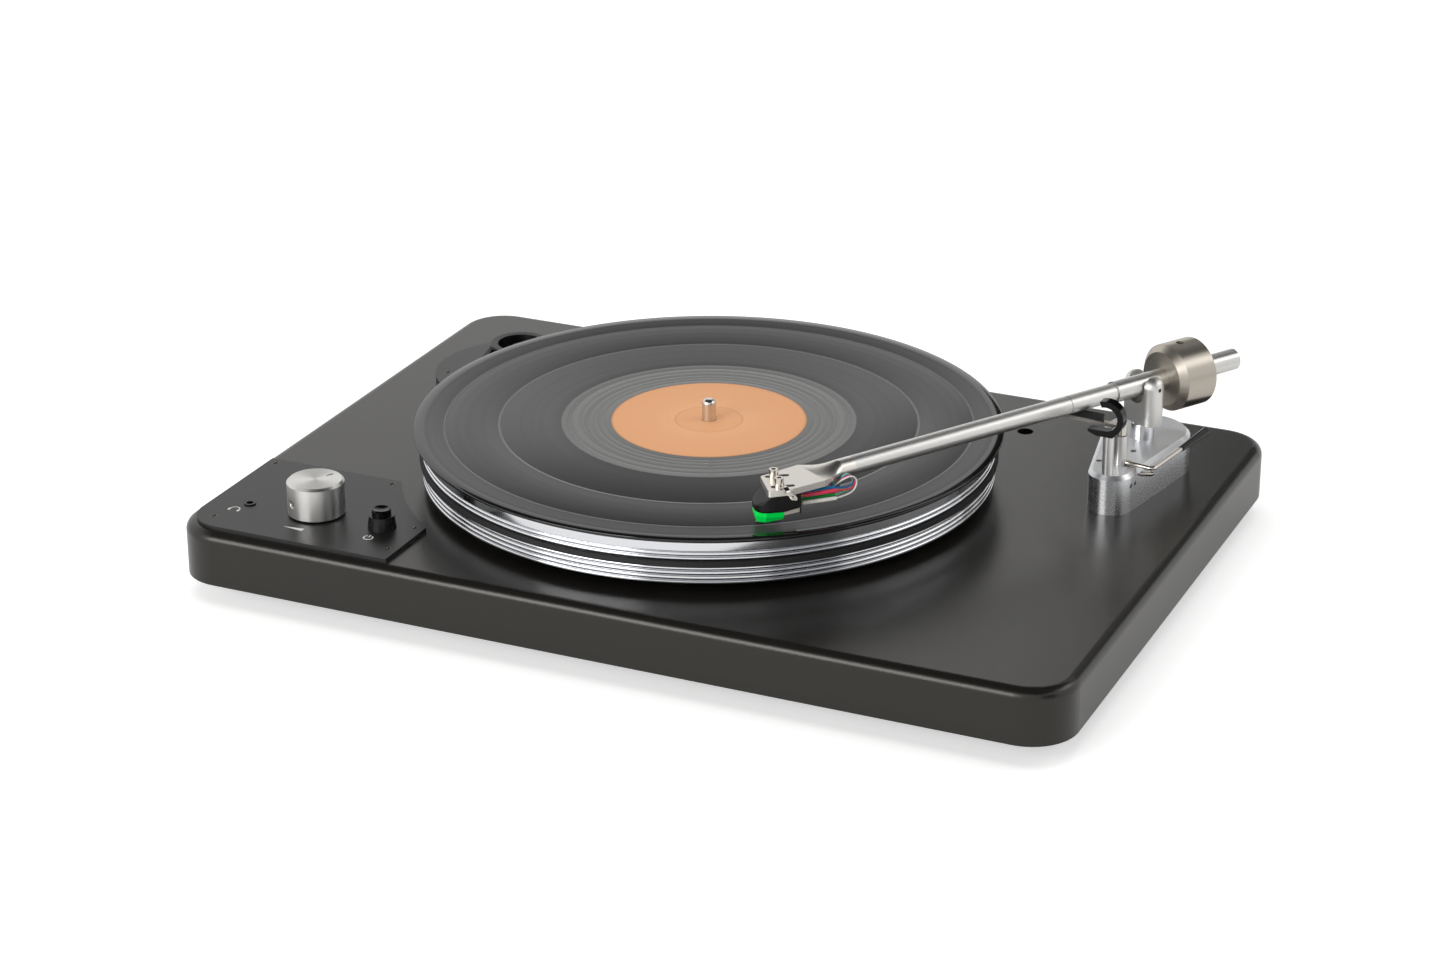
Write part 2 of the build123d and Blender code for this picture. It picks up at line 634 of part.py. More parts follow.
with BuildPart() as pan_screws:
    with Locations(*[(x, y, PLINTH_BOTTOM) for x, y in cover_screws]):
        add(pan_screw.part)
    with Locations(*[(x, y, FOOT_HEIGHT - FOOT_SCREW_FLOOR) for x, y in feet_places]):
        add(pan_screw.part)
    # One is driven downwards in the hole beside the arm
    with Locations(Location((RECESS_X, RECESS_Y, TOP - RECESS_DEPTH), (180, 0, 0))):
        add(pan_screw.part)
pan_screws.part.label = "pan_screws"
export_step(pan_screws.part, "parts/pan_screws.step")

# Feet: tapered rubber discs, each with a counterbore for its screw
with BuildPart() as feet:
    for x, y in feet_places:
        with BuildSketch(upright(x, y)):
            with BuildLine():
                Polyline(
                    (cover_pilot_radius, FOOT_HEIGHT),
                    (FOOT_TOP_RADIUS, FOOT_HEIGHT),
                    (FOOT_BOTTOM_RADIUS + FOOT_EDGE / 4, FOOT_EDGE),
                    (FOOT_BOTTOM_RADIUS - FOOT_EDGE, 0),
                    (FOOT_SCREW_RECESS_RADIUS, 0),
                    (FOOT_SCREW_RECESS_RADIUS, FOOT_HEIGHT - FOOT_SCREW_FLOOR),
                    (cover_pilot_radius, FOOT_HEIGHT - FOOT_SCREW_FLOOR),
                    close=True,
                )
            make_face()
        revolve(axis=turned(x, y))
feet.part.label = "feet"
export_step(feet.part, "parts/feet.step")

# Control panel: a thin plate, rounded at the plinth's corner and cut away round the platter
with BuildPart() as control_panel:
    with BuildSketch(Plane.XY.offset(TOP)) as panel_outline:
        with Locations((PANEL_LEFT, PANEL_FRONT)):
            Rectangle(PANEL_LENGTH, PANEL_DEPTH, align=(Align.MIN, Align.MIN))
        fillet(panel_outline.vertices().sort_by(Axis((0, 0, 0), (1, 1, 0)))[0], PANEL_CORNER)
        with Locations((SPINDLE_X, SPINDLE_Y)):
            Circle(PANEL_ARC_RADIUS, mode=Mode.SUBTRACT)
        with Locations((KNOB_X, KNOB_Y)):
            Circle(POT_BUSH_RADIUS + FIT_GAP, mode=Mode.SUBTRACT)
        with Locations((BUTTON_X, BUTTON_Y)):
            Circle(SWITCH_BUSH_RADIUS + FIT_GAP, mode=Mode.SUBTRACT)
        with Locations((JACK_X, JACK_Y)):
            Circle(JACK_RADIUS + FIT_GAP, mode=Mode.SUBTRACT)
    extrude(amount=PANEL_THICKNESS)
    with Locations(*[(x, y, PANEL_TOP) for x, y in panel_screws]):
        CounterSinkHole(pilot_radius, SCREW_HEAD_RADIUS + FIT_GAP, counter_sink_angle=90)
control_panel.part.label = "control_panel"
export_step(control_panel.part, "parts/control_panel.step")

# One countersunk screw, its flat head's top at the origin
with BuildPart() as flat_screw:
    with BuildSketch(Plane.XZ):
        with BuildLine():
            Polyline(
                (0, 0),
                (SCREW_HEAD_RADIUS, 0),
                (SCREW_SHANK_RADIUS, SCREW_SHANK_RADIUS - SCREW_HEAD_RADIUS),
                (SCREW_SHANK_RADIUS, SCREW_SHANK_RADIUS - SCREW_LENGTH),
                (0, -SCREW_LENGTH),
                close=True,
            )
        make_face()
    revolve(axis=Axis.Z)

with BuildPart() as countersunk_screws:
    for places, top in (
        (panel_screws, PANEL_TOP),
        (plate_screws, MOTOR_PLATE_TOP),
        (motor_screws, MOTOR_PLATE_TOP),
        (housing_screws, HOUSING_TOP),
    ):
        with Locations(*[(x, y, top) for x, y in places]):
            add(flat_screw.part)
countersunk_screws.part.label = "countersunk_screws"
export_step(countersunk_screws.part, "parts/countersunk_screws.step")

# Potentiometer: a round can under the panel, its bush and the nut that holds it
with BuildPart() as volume_pot:
    with BuildSketch(upright(KNOB_X, KNOB_Y)):
        with BuildLine():
            shaft_hole = KNOB_SHAFT_RADIUS + RUN_GAP
            Polyline(
                (0, board_top),
                (POT_RADIUS, board_top),
                (POT_RADIUS, TOP),
                (POT_BUSH_RADIUS, TOP),
                (POT_BUSH_RADIUS, TOP + POT_BUSH_TOP),
                (shaft_hole, TOP + POT_BUSH_TOP),
                (shaft_hole, TOP - POT_DEPTH / 2),
                (0, TOP - POT_DEPTH / 2),
                close=True,
            )
        make_face()
    revolve(axis=turned(KNOB_X, KNOB_Y))
    with BuildSketch(Plane.XY.offset(PANEL_TOP)):
        with Locations((KNOB_X, KNOB_Y)):
            RegularPolygon(POT_NUT_RADIUS, 6)
            Circle(POT_BUSH_RADIUS + FIT_GAP, mode=Mode.SUBTRACT)
    extrude(amount=POT_NUT_HEIGHT)
volume_pot.part.label = "volume_pot"
export_step(volume_pot.part, "parts/volume_pot.step")

# Shaft of the potentiometer, which the knob is fixed on
knob_bottom = PANEL_TOP + KNOB_LIFT
with BuildPart() as pot_shaft:
    with BuildSketch(Plane.XY.offset(TOP - POT_DEPTH / 2 + FREE_GAP)):
        with Locations((KNOB_X, KNOB_Y)):
            Circle(KNOB_SHAFT_RADIUS)
    extrude(amount=KNOB_SHAFT_TOP + POT_DEPTH / 2 - FREE_GAP)
pot_shaft.part.label = "pot_shaft"
export_step(pot_shaft.part, "parts/pot_shaft.step")

# Volume knob: a turned knob with a bevelled rim, hollow below, with a pointer line on its top
with BuildPart() as volume_knob:
    with BuildSketch(upright(KNOB_X, KNOB_Y)):
        with BuildLine():
            shaft_bore = KNOB_SHAFT_RADIUS + FIT_GAP
            knob_top = knob_bottom + KNOB_HEIGHT
            Polyline(
                (KNOB_RECESS_RADIUS, knob_bottom),
                (KNOB_RADIUS - KNOB_EDGE / 3, knob_bottom),
                (KNOB_RADIUS, knob_bottom + KNOB_EDGE / 3),
                (KNOB_RADIUS, knob_top - KNOB_EDGE),
                (KNOB_RADIUS - KNOB_EDGE, knob_top),
                (0, knob_top),
                (0, TOP + KNOB_SHAFT_TOP),
                (shaft_bore, TOP + KNOB_SHAFT_TOP),
                (shaft_bore, knob_bottom + KNOB_RECESS_DEPTH),
                (KNOB_RECESS_RADIUS, knob_bottom + KNOB_RECESS_DEPTH),
                close=True,
            )
        make_face()
    revolve(axis=turned(KNOB_X, KNOB_Y))
    knob_face = Plane((KNOB_X, KNOB_Y, knob_top), x_dir=Vector(1, 0, 0).rotate(Axis.Z, KNOB_POINTER_ANGLE))
    with BuildSketch(knob_face):
        with Locations((KNOB_POINTER_START, 0)):
            Rectangle(
                KNOB_RADIUS - KNOB_POINTER_START,
                KNOB_POINTER_WIDTH,
                align=(Align.MIN, Align.CENTER),
            )
    extrude(amount=-KNOB_POINTER_DEPTH, mode=Mode.SUBTRACT)
    # The set screw's hole in the side
    set_screw_plane = Plane(
        (KNOB_X, KNOB_Y, (TOP + KNOB_SHAFT_TOP + knob_bottom + KNOB_RECESS_DEPTH) / 2),
        x_dir=(0, 0, 1),
        z_dir=Vector(1, 0, 0).rotate(Axis.Z, KNOB_POINTER_ANGLE + 180),
    )
    with BuildSketch(set_screw_plane):
        Circle(KNOB_SET_SCREW_RADIUS)
    extrude(amount=KNOB_RADIUS, mode=Mode.SUBTRACT)
volume_knob.part.label = "volume_knob"
export_step(volume_knob.part, "parts/volume_knob.step")

# Power switch: a square body under the panel and the tapered collar round the button
with BuildPart() as power_switch:
    with BuildSketch(Plane.XY.offset(board_top)):
        with Locations((BUTTON_X, BUTTON_Y)):
            Rectangle(SWITCH_WIDTH, SWITCH_WIDTH)
    extrude(amount=POT_DEPTH)
    with BuildSketch(upright(BUTTON_X, BUTTON_Y)):
        with BuildLine():
            Polyline(
                (0, TOP),
                (SWITCH_BUSH_RADIUS, TOP),
                (SWITCH_BUSH_RADIUS, PANEL_TOP),
                (COLLAR_BOTTOM_RADIUS, PANEL_TOP),
                (COLLAR_TOP_RADIUS, TOP + COLLAR_TOP),
                (0, TOP + COLLAR_TOP),
                close=True,
            )
        make_face()
    revolve(axis=turned(BUTTON_X, BUTTON_Y))
    with Locations((BUTTON_X, BUTTON_Y, TOP + COLLAR_TOP)):
        Hole(BUTTON_RADIUS + BUTTON_GAP, depth=COLLAR_TOP - BUTTON_BOTTOM + BUTTON_TRAVEL + FREE_GAP)
        Hole(BUTTON_STEM_RADIUS + FREE_GAP, depth=COLLAR_TOP + BUTTON_STEM + BUTTON_TRAVEL + FREE_GAP)
power_switch.part.label = "power_switch"
export_step(power_switch.part, "parts/power_switch.step")

# Power button: a round cap with a dished top, on the stem that works the switch
with BuildPart() as power_button:
    with BuildSketch(upright(BUTTON_X, BUTTON_Y)):
        with BuildLine():
            Polyline(
                (0, TOP + BUTTON_TOP),
                (0, TOP - BUTTON_STEM),
                (BUTTON_STEM_RADIUS, TOP - BUTTON_STEM),
                (BUTTON_STEM_RADIUS, TOP + BUTTON_BOTTOM),
                (BUTTON_RADIUS, TOP + BUTTON_BOTTOM),
                (BUTTON_RADIUS, TOP + BUTTON_TOP - BUTTON_EDGE),
                (BUTTON_RADIUS - BUTTON_EDGE, TOP + BUTTON_TOP),
                close=True,
            )
        make_face()
    revolve(axis=turned(BUTTON_X, BUTTON_Y))
    dish_rim = BUTTON_RADIUS - BUTTON_EDGE
    dish_radius = (dish_rim**2 + BUTTON_DISH**2) / (2 * BUTTON_DISH)
    with Locations((BUTTON_X, BUTTON_Y, TOP + BUTTON_TOP - BUTTON_DISH + dish_radius)):
        Sphere(dish_radius, mode=Mode.SUBTRACT)
power_button.part.label = "power_button"
export_step(power_button.part, "parts/power_button.step")

# Headphone jack: a ring in the panel over a small square body
with BuildPart() as phones_jack:
    with BuildSketch(Plane.XY.offset(board_top)):
        with Locations((JACK_X, JACK_Y)):
            Rectangle(JACK_BODY, JACK_BODY)
    extrude(amount=POT_DEPTH)
    with BuildSketch(Plane.XY.offset(TOP)):
        with Locations((JACK_X, JACK_Y)):
            Circle(JACK_RADIUS)
    extrude(amount=PANEL_THICKNESS + JACK_RIM)
    with Locations((JACK_X, JACK_Y, PANEL_TOP + JACK_RIM)):
        Hole(JACK_BORE_RADIUS, depth=PANEL_THICKNESS + JACK_RIM + POT_DEPTH - PANEL_THICKNESS)
phones_jack.part.label = "phones_jack"
export_step(phones_jack.part, "parts/phones_jack.step")

# Circuit board: it hangs on the jack, the potentiometer and the switch
with BuildPart() as circuit_board:
    with BuildSketch(Plane.XY.offset(board_top - BOARD_THICKNESS)):
        with Locations((BOARD_X, BOARD_Y)):
            Rectangle(BOARD_LENGTH, BOARD_WIDTH)
    extrude(amount=BOARD_THICKNESS)
circuit_board.part.label = "circuit_board"
export_step(circuit_board.part, "parts/circuit_board.step")

# Motor plate: a round plate on the plinth that the motor hangs under
with BuildPart() as motor_plate:
    with BuildSketch(Plane.XY.offset(TOP)):
        with Locations((MOTOR_X, MOTOR_Y)):
            Circle(MOTOR_PLATE_RADIUS)
            Circle(MOTOR_BOSS_RADIUS + FIT_GAP, mode=Mode.SUBTRACT)
    extrude(amount=MOTOR_PLATE_THICKNESS)
    with Locations(*[(x, y, MOTOR_PLATE_TOP) for x, y in plate_screws + motor_screws]):
        CounterSinkHole(pilot_radius, SCREW_HEAD_RADIUS + FIT_GAP, counter_sink_angle=90)
motor_plate.part.label = "motor_plate"
export_step(motor_plate.part, "parts/motor_plate.step")

# Motor: a flat can with a boss that passes through the plate
with BuildPart() as motor:
    with BuildSketch(upright(MOTOR_X, MOTOR_Y)):
        with BuildLine():
            motor_bore = MOTOR_SHAFT_RADIUS + RUN_GAP
            boss_top = MOTOR_PLATE_TOP + MOTOR_BOSS_PROUD
            Polyline(
                (0, TOP - MOTOR_LENGTH),
                (MOTOR_RADIUS - 1, TOP - MOTOR_LENGTH),
                (MOTOR_RADIUS, TOP - MOTOR_LENGTH + SHAFT_EDGE),
                (MOTOR_RADIUS, TOP),
                (MOTOR_BOSS_RADIUS, TOP),
                (MOTOR_BOSS_RADIUS, boss_top),
                (motor_bore, boss_top),
                (motor_bore, TOP - MOTOR_SHAFT_DEPTH),
                (0, TOP - MOTOR_SHAFT_DEPTH),
                close=True,
            )
        make_face()
    revolve(axis=turned(MOTOR_X, MOTOR_Y))
    with Locations(*[(x, y, TOP) for x, y in motor_screws]):
        Hole(pilot_radius, depth=SCREW_LENGTH - MOTOR_PLATE_THICKNESS + FREE_GAP)
motor.part.label = "motor"
export_step(motor.part, "parts/motor.step")

# Motor shaft
with BuildPart() as motor_shaft:
    with BuildSketch(Plane.XY.offset(TOP - MOTOR_SHAFT_DEPTH + FREE_GAP)):
        with Locations((MOTOR_X, MOTOR_Y)):
            Circle(MOTOR_SHAFT_RADIUS)
    extrude(amount=MOTOR_SHAFT_DEPTH - FREE_GAP + PULLEY_HUB_TOP)
motor_shaft.part.label = "motor_shaft"
export_step(motor_shaft.part, "parts/motor_shaft.step")

# Pulley: a cup open at the top, with the belt's groove in its rim and a hub on the shaft
groove_half = BELT_WIDTH / 2 + FREE_GAP
with BuildPart() as motor_pulley:
    with BuildSketch(upright(MOTOR_X, MOTOR_Y)):
        with BuildLine():
            cup_radius = PULLEY_SEAT_RADIUS - PULLEY_WALL
            shaft_bore = MOTOR_SHAFT_RADIUS + FIT_GAP
            cup_floor = TOP + PULLEY_BOTTOM + PULLEY_FLOOR
            Polyline(
                (shaft_bore, TOP + PULLEY_BOTTOM),
                (PULLEY_RADIUS, TOP + PULLEY_BOTTOM),
                (PULLEY_RADIUS, TOP + BELT_HEIGHT - groove_half),
                (PULLEY_SEAT_RADIUS, TOP + BELT_HEIGHT - groove_half),
                (PULLEY_SEAT_RADIUS, TOP + BELT_HEIGHT + groove_half),
                (PULLEY_RADIUS, TOP + BELT_HEIGHT + groove_half),
                (PULLEY_RADIUS, TOP + PULLEY_TOP),
                (cup_radius, TOP + PULLEY_TOP),
                (cup_radius, cup_floor),
                (PULLEY_HUB_RADIUS, cup_floor),
                (PULLEY_HUB_RADIUS, TOP + PULLEY_HUB_TOP),
                (shaft_bore, TOP + PULLEY_HUB_TOP),
                close=True,
            )
        make_face()
    revolve(axis=turned(MOTOR_X, MOTOR_Y))
motor_pulley.part.label = "motor_pulley"
export_step(motor_pulley.part, "parts/motor_pulley.step")

# Belt: a flat rubber band round the platter and the pulley
with BuildPart() as drive_belt:
    with BuildSketch(Plane.XY.offset(TOP + BELT_HEIGHT - BELT_WIDTH / 2)):
        with BuildSketch(mode=Mode.PRIVATE) as belt_inside:
            with Locations((SPINDLE_X, SPINDLE_Y)):
                Circle(BELT_SEAT_RADIUS + FREE_GAP)
            with Locations((MOTOR_X, MOTOR_Y)):
                Circle(PULLEY_SEAT_RADIUS + FREE_GAP)
            make_hull()
        add(offset(belt_inside.sketch, BELT_THICKNESS, mode=Mode.PRIVATE))
        add(belt_inside.sketch, mode=Mode.SUBTRACT)
    extrude(amount=BELT_WIDTH)
drive_belt.part.label = "drive_belt"
export_step(drive_belt.part, "parts/drive_belt.step")

# Bearing housing: a flanged tube let into the plinth, closed at the bottom
with BuildPart() as bearing_housing:
    with BuildSketch(upright(SPINDLE_X, SPINDLE_Y)):
        with BuildLine():
            bush_bore = BUSH_RADIUS + FIT_GAP
            Polyline(
                (0, HOUSING_BOTTOM),
                (HOUSING_RADIUS, HOUSING_BOTTOM),
                (HOUSING_RADIUS, TOP),
                (HOUSING_FLANGE_RADIUS, TOP),
                (HOUSING_FLANGE_RADIUS, HOUSING_TOP),
                (bush_bore, HOUSING_TOP),
                (bush_bore, HOUSING_BOTTOM + HOUSING_FLOOR),
                (0, HOUSING_BOTTOM + HOUSING_FLOOR),
                close=True,
            )
        make_face()
    revolve(axis=turned(SPINDLE_X, SPINDLE_Y))
    with Locations(*[(x, y, HOUSING_TOP) for x, y in housing_screws]):
        CounterSinkHole(pilot_radius, SCREW_HEAD_RADIUS + FIT_GAP, counter_sink_angle=90)
bearing_housing.part.label = "bearing_housing"
export_step(bearing_housing.part, "parts/bearing_housing.step")

# Bearing bush: a bronze sleeve that the spindle turns in
with BuildPart() as bearing_bush:
    with BuildSketch(Plane.XY.offset(HOUSING_TOP - BUSH_LENGTH)):
        with Locations((SPINDLE_X, SPINDLE_Y)):
            Circle(BUSH_RADIUS)
            Circle(SPINDLE_SHAFT_RADIUS + RUN_GAP, mode=Mode.SUBTRACT)
    extrude(amount=BUSH_LENGTH)
bearing_bush.part.label = "bearing_bush"
export_step(bearing_bush.part, "parts/bearing_bush.step")

# Thrust ball: the spindle's end runs on it
with BuildPart() as thrust_ball:
    with Locations((SPINDLE_X, SPINDLE_Y, BALL_CENTRE)):
        Sphere(BALL_RADIUS)
thrust_ball.part.label = "thrust_ball"
export_step(thrust_ball.part, "parts/thrust_ball.step")

# Spindle: shaft, the flange that carries the platter, and the record pin with its rounded tip
with BuildPart() as spindle:
    with BuildSketch(upright(SPINDLE_X, SPINDLE_Y)):
        with BuildLine():
            shaft_end = BALL_CENTRE + BALL_RADIUS + BALL_GAP
            flange_bottom = TOP + SPINDLE_FLANGE_BOTTOM
            flange_top = flange_bottom + SPINDLE_FLANGE_THICKNESS
            Polyline(
                (0, TOP + SPINDLE_PIN_TOP),
                (0, shaft_end),
                (SPINDLE_SHAFT_RADIUS - 1, shaft_end),
                (SPINDLE_SHAFT_RADIUS, shaft_end + SHAFT_EDGE),
                (SPINDLE_SHAFT_RADIUS, flange_bottom),
                (SPINDLE_FLANGE_RADIUS, flange_bottom),
                (SPINDLE_FLANGE_RADIUS, flange_top),
                (SPINDLE_SHAFT_RADIUS, flange_top),
                (SPINDLE_SHAFT_RADIUS, TOP + PLATTER_TOP),
                (SPINDLE_PIN_RADIUS, TOP + PLATTER_TOP),
                (SPINDLE_PIN_RADIUS, TOP + SPINDLE_PIN_TOP),
                close=True,
            )
        make_face()
    revolve(axis=turned(SPINDLE_X, SPINDLE_Y))
    fillet(spindle.edges().sort_by(Axis.Z)[-1], SPINDLE_PIN_ROUND)
spindle.part.label = "spindle"
export_step(spindle.part, "parts/spindle.step")

# Platter: a turned aluminium disc with beads round its rim, the belt's groove between them,
# and a ring hollowed out below
with BuildPart() as platter:
    with BuildSketch(upright(SPINDLE_X, SPINDLE_Y)):
        Polygon(
            (SPINDLE_SHAFT_RADIUS + FIT_GAP, TOP + PLATTER_BOTTOM),
            (PLATTER_RADIUS - PLATTER_EDGE, TOP + PLATTER_BOTTOM),
            (PLATTER_RADIUS, TOP + PLATTER_BOTTOM + PLATTER_EDGE),
            (PLATTER_RADIUS, TOP + PLATTER_TOP - PLATTER_EDGE),
            (PLATTER_RADIUS - PLATTER_EDGE, TOP + PLATTER_TOP),
            (SPINDLE_SHAFT_RADIUS + FIT_GAP, TOP + PLATTER_TOP),
            align=None,
        )
        belt_low = BELT_HEIGHT - groove_half
        belt_high = BELT_HEIGHT + groove_half
        # V grooves leave rounded-looking beads over and under the belt
        for height in [belt_high + BEAD_PITCH * step for step in (0.8, 1.8)] + [
            belt_low - BEAD_PITCH * step for step in (0.9, 1.9, 2.9)
        ]:
            Polygon(
                (PLATTER_RADIUS + FREE_GAP, TOP + height - BEAD_PITCH / 3),
                (PLATTER_RADIUS + FREE_GAP, TOP + height + BEAD_PITCH / 3),
                (PLATTER_RADIUS - BEAD_GROOVE_DEPTH, TOP + height),
                align=None,
                mode=Mode.SUBTRACT,
            )
        with Locations((BELT_SEAT_RADIUS, TOP + belt_low)):
            Rectangle(
                PLATTER_RADIUS - BELT_SEAT_RADIUS + FREE_GAP,
                2 * groove_half,
                align=(Align.MIN, Align.MIN),
                mode=Mode.SUBTRACT,
            )
        with Locations((PLATTER_RING_INNER, TOP + PLATTER_BOTTOM)):
            Rectangle(
                PLATTER_RING_OUTER - PLATTER_RING_INNER,
                PLATTER_RING_DEPTH,
                align=(Align.MIN, Align.MIN),
                mode=Mode.SUBTRACT,
            )
        with Locations((0, TOP + PLATTER_BOTTOM)):
            Rectangle(
                SPINDLE_FLANGE_RADIUS + FIT_GAP,
                SPINDLE_FLANGE_BOTTOM + SPINDLE_FLANGE_THICKNESS - PLATTER_BOTTOM,
                align=(Align.MIN, Align.MIN),
                mode=Mode.SUBTRACT,
            )
    revolve(axis=turned(SPINDLE_X, SPINDLE_Y))
platter.part.label = "platter"
export_step(platter.part, "parts/platter.step")

# Mat: a thin felt disc on the platter
with BuildPart() as platter_mat:
    with BuildSketch(Plane.XY.offset(TOP + PLATTER_TOP)):
        with Locations((SPINDLE_X, SPINDLE_Y)):
            Circle(MAT_RADIUS)
            Circle(RECORD_HOLE_RADIUS, mode=Mode.SUBTRACT)
    extrude(amount=MAT_THICKNESS)
platter_mat.part.label = "platter_mat"
export_step(platter_mat.part, "parts/platter_mat.step")

# Record: a pressed disc with a bevelled rim and a recess for its label
with BuildPart() as record:
    with BuildSketch(upright(SPINDLE_X, SPINDLE_Y)):
        with BuildLine():
            record_bottom = TOP + PLATTER_TOP + MAT_THICKNESS
            Polyline(
                (RECORD_HOLE_RADIUS, record_bottom),
                (RECORD_RADIUS - RECORD_EDGE, record_bottom),
                (RECORD_RADIUS, record_bottom + RECORD_EDGE),
                (RECORD_RADIUS, TOP + RECORD_TOP - RECORD_EDGE),
                (RECORD_RADIUS - RECORD_EDGE, TOP + RECORD_TOP),
                (LABEL_RADIUS + FIT_GAP, TOP + RECORD_TOP),
                (LABEL_RADIUS + FIT_GAP, TOP + RECORD_TOP - LABEL_THICKNESS),
                (RECORD_HOLE_RADIUS, TOP + RECORD_TOP - LABEL_THICKNESS),
                close=True,
            )
        make_face()
    revolve(axis=turned(SPINDLE_X, SPINDLE_Y))
record.part.label = "record"
export_step(record.part, "parts/record.step")

# Record label: a paper disc pressed into the record
with BuildPart() as record_label:
    with BuildSketch(Plane.XY.offset(TOP + RECORD_TOP - LABEL_THICKNESS)):
        with Locations((SPINDLE_X, SPINDLE_Y)):
            Circle(LABEL_RADIUS)
            Circle(RECORD_HOLE_RADIUS, mode=Mode.SUBTRACT)
    extrude(amount=LABEL_THICKNESS)
record_label.part.label = "record_label"
export_step(record_label.part, "parts/record_label.step")

# Rear connections: a small panel in the recess with two output sockets, a ground post and an inlet
REAR = Plane((REAR_X, REAR_Y, REAR_Z), x_dir=(1, 0, 0), z_dir=(0, 1, 0))
REAR_FACE = REAR.offset(REAR_PANEL_THICKNESS)
socket_places = [(SOCKET_FIRST, 0), (SOCKET_FIRST + SOCKET_SPACING, 0)]
socket_tail_radius = SOCKET_RADIUS - SOCKET_FLANGE_THICKNESS / 2
inlet_tail_radius = INLET_RADIUS - SOCKET_FLANGE_THICKNESS / 2
with BuildPart() as rear_panel:
    with BuildSketch(REAR):
        Rectangle(REAR_RECESS_LENGTH - 2 * REAR_PANEL_GAP, REAR_RECESS_HEIGHT - 2 * REAR_PANEL_GAP)
        with Locations(*socket_places):
            Circle(socket_tail_radius + FIT_GAP, mode=Mode.SUBTRACT)
        with Locations((GROUND_OFFSET, 0)):
            Circle(GROUND_POST_RADIUS + FIT_GAP, mode=Mode.SUBTRACT)
        with Locations((INLET_OFFSET, 0)):
            Circle(inlet_tail_radius + FIT_GAP, mode=Mode.SUBTRACT)
    extrude(amount=REAR_PANEL_THICKNESS)
rear_panel.part.label = "rear_panel"
export_step(rear_panel.part, "parts/rear_panel.step")

with BuildPart() as output_sockets:
    with BuildSketch(REAR.offset(-SOCKET_TAIL)):
        with Locations(*socket_places):
            Circle(socket_tail_radius)
    extrude(amount=SOCKET_TAIL + REAR_PANEL_THICKNESS)
    with BuildSketch(REAR_FACE):
        with Locations(*socket_places):
            Circle(SOCKET_FLANGE_RADIUS)
    extrude(amount=SOCKET_FLANGE_THICKNESS)
    with BuildSketch(REAR_FACE):
        with Locations(*socket_places):
            Circle(SOCKET_RADIUS)
    extrude(amount=SOCKET_REACH)
    with BuildSketch(REAR_FACE.offset(SOCKET_REACH)):
        with Locations(*socket_places):
            Circle(SOCKET_PIN_RADIUS)
    extrude(amount=-SOCKET_REACH, mode=Mode.SUBTRACT)
output_sockets.part.label = "output_sockets"
export_step(output_sockets.part, "parts/output_sockets.step")

with BuildPart() as ground_post:
    with BuildSketch(REAR.offset(-SOCKET_TAIL)):
        with Locations((GROUND_OFFSET, 0)):
            Circle(GROUND_POST_RADIUS)
    extrude(amount=SOCKET_TAIL + REAR_PANEL_THICKNESS + SOCKET_REACH)
    with BuildSketch(REAR_FACE):
        with Locations((GROUND_OFFSET, 0)):
            RegularPolygon(GROUND_NUT_RADIUS, 12)
    extrude(amount=GROUND_NUT_LENGTH)
ground_post.part.label = "ground_post"
export_step(ground_post.part, "parts/ground_post.step")

with BuildPart() as power_inlet:
    with BuildSketch(REAR.offset(-INLET_TAIL)):
        with Locations((INLET_OFFSET, 0)):
            Circle(inlet_tail_radius)
    extrude(amount=INLET_TAIL + REAR_PANEL_THICKNESS)
    with BuildSketch(REAR_FACE):
        with Locations((INLET_OFFSET, 0)):
            Circle(INLET_RADIUS)
    extrude(amount=INLET_REACH)
    with BuildSketch(REAR_FACE.offset(INLET_REACH)):
        with Locations((INLET_OFFSET, 0)):
            Circle(INLET_BORE_RADIUS)
            Circle(INLET_PIN_RADIUS, mode=Mode.SUBTRACT)
    extrude(amount=-(INLET_REACH + REAR_PANEL_THICKNESS + INLET_TAIL / 2), mode=Mode.SUBTRACT)
power_inlet.part.label = "power_inlet"
export_step(power_inlet.part, "parts/power_inlet.step")

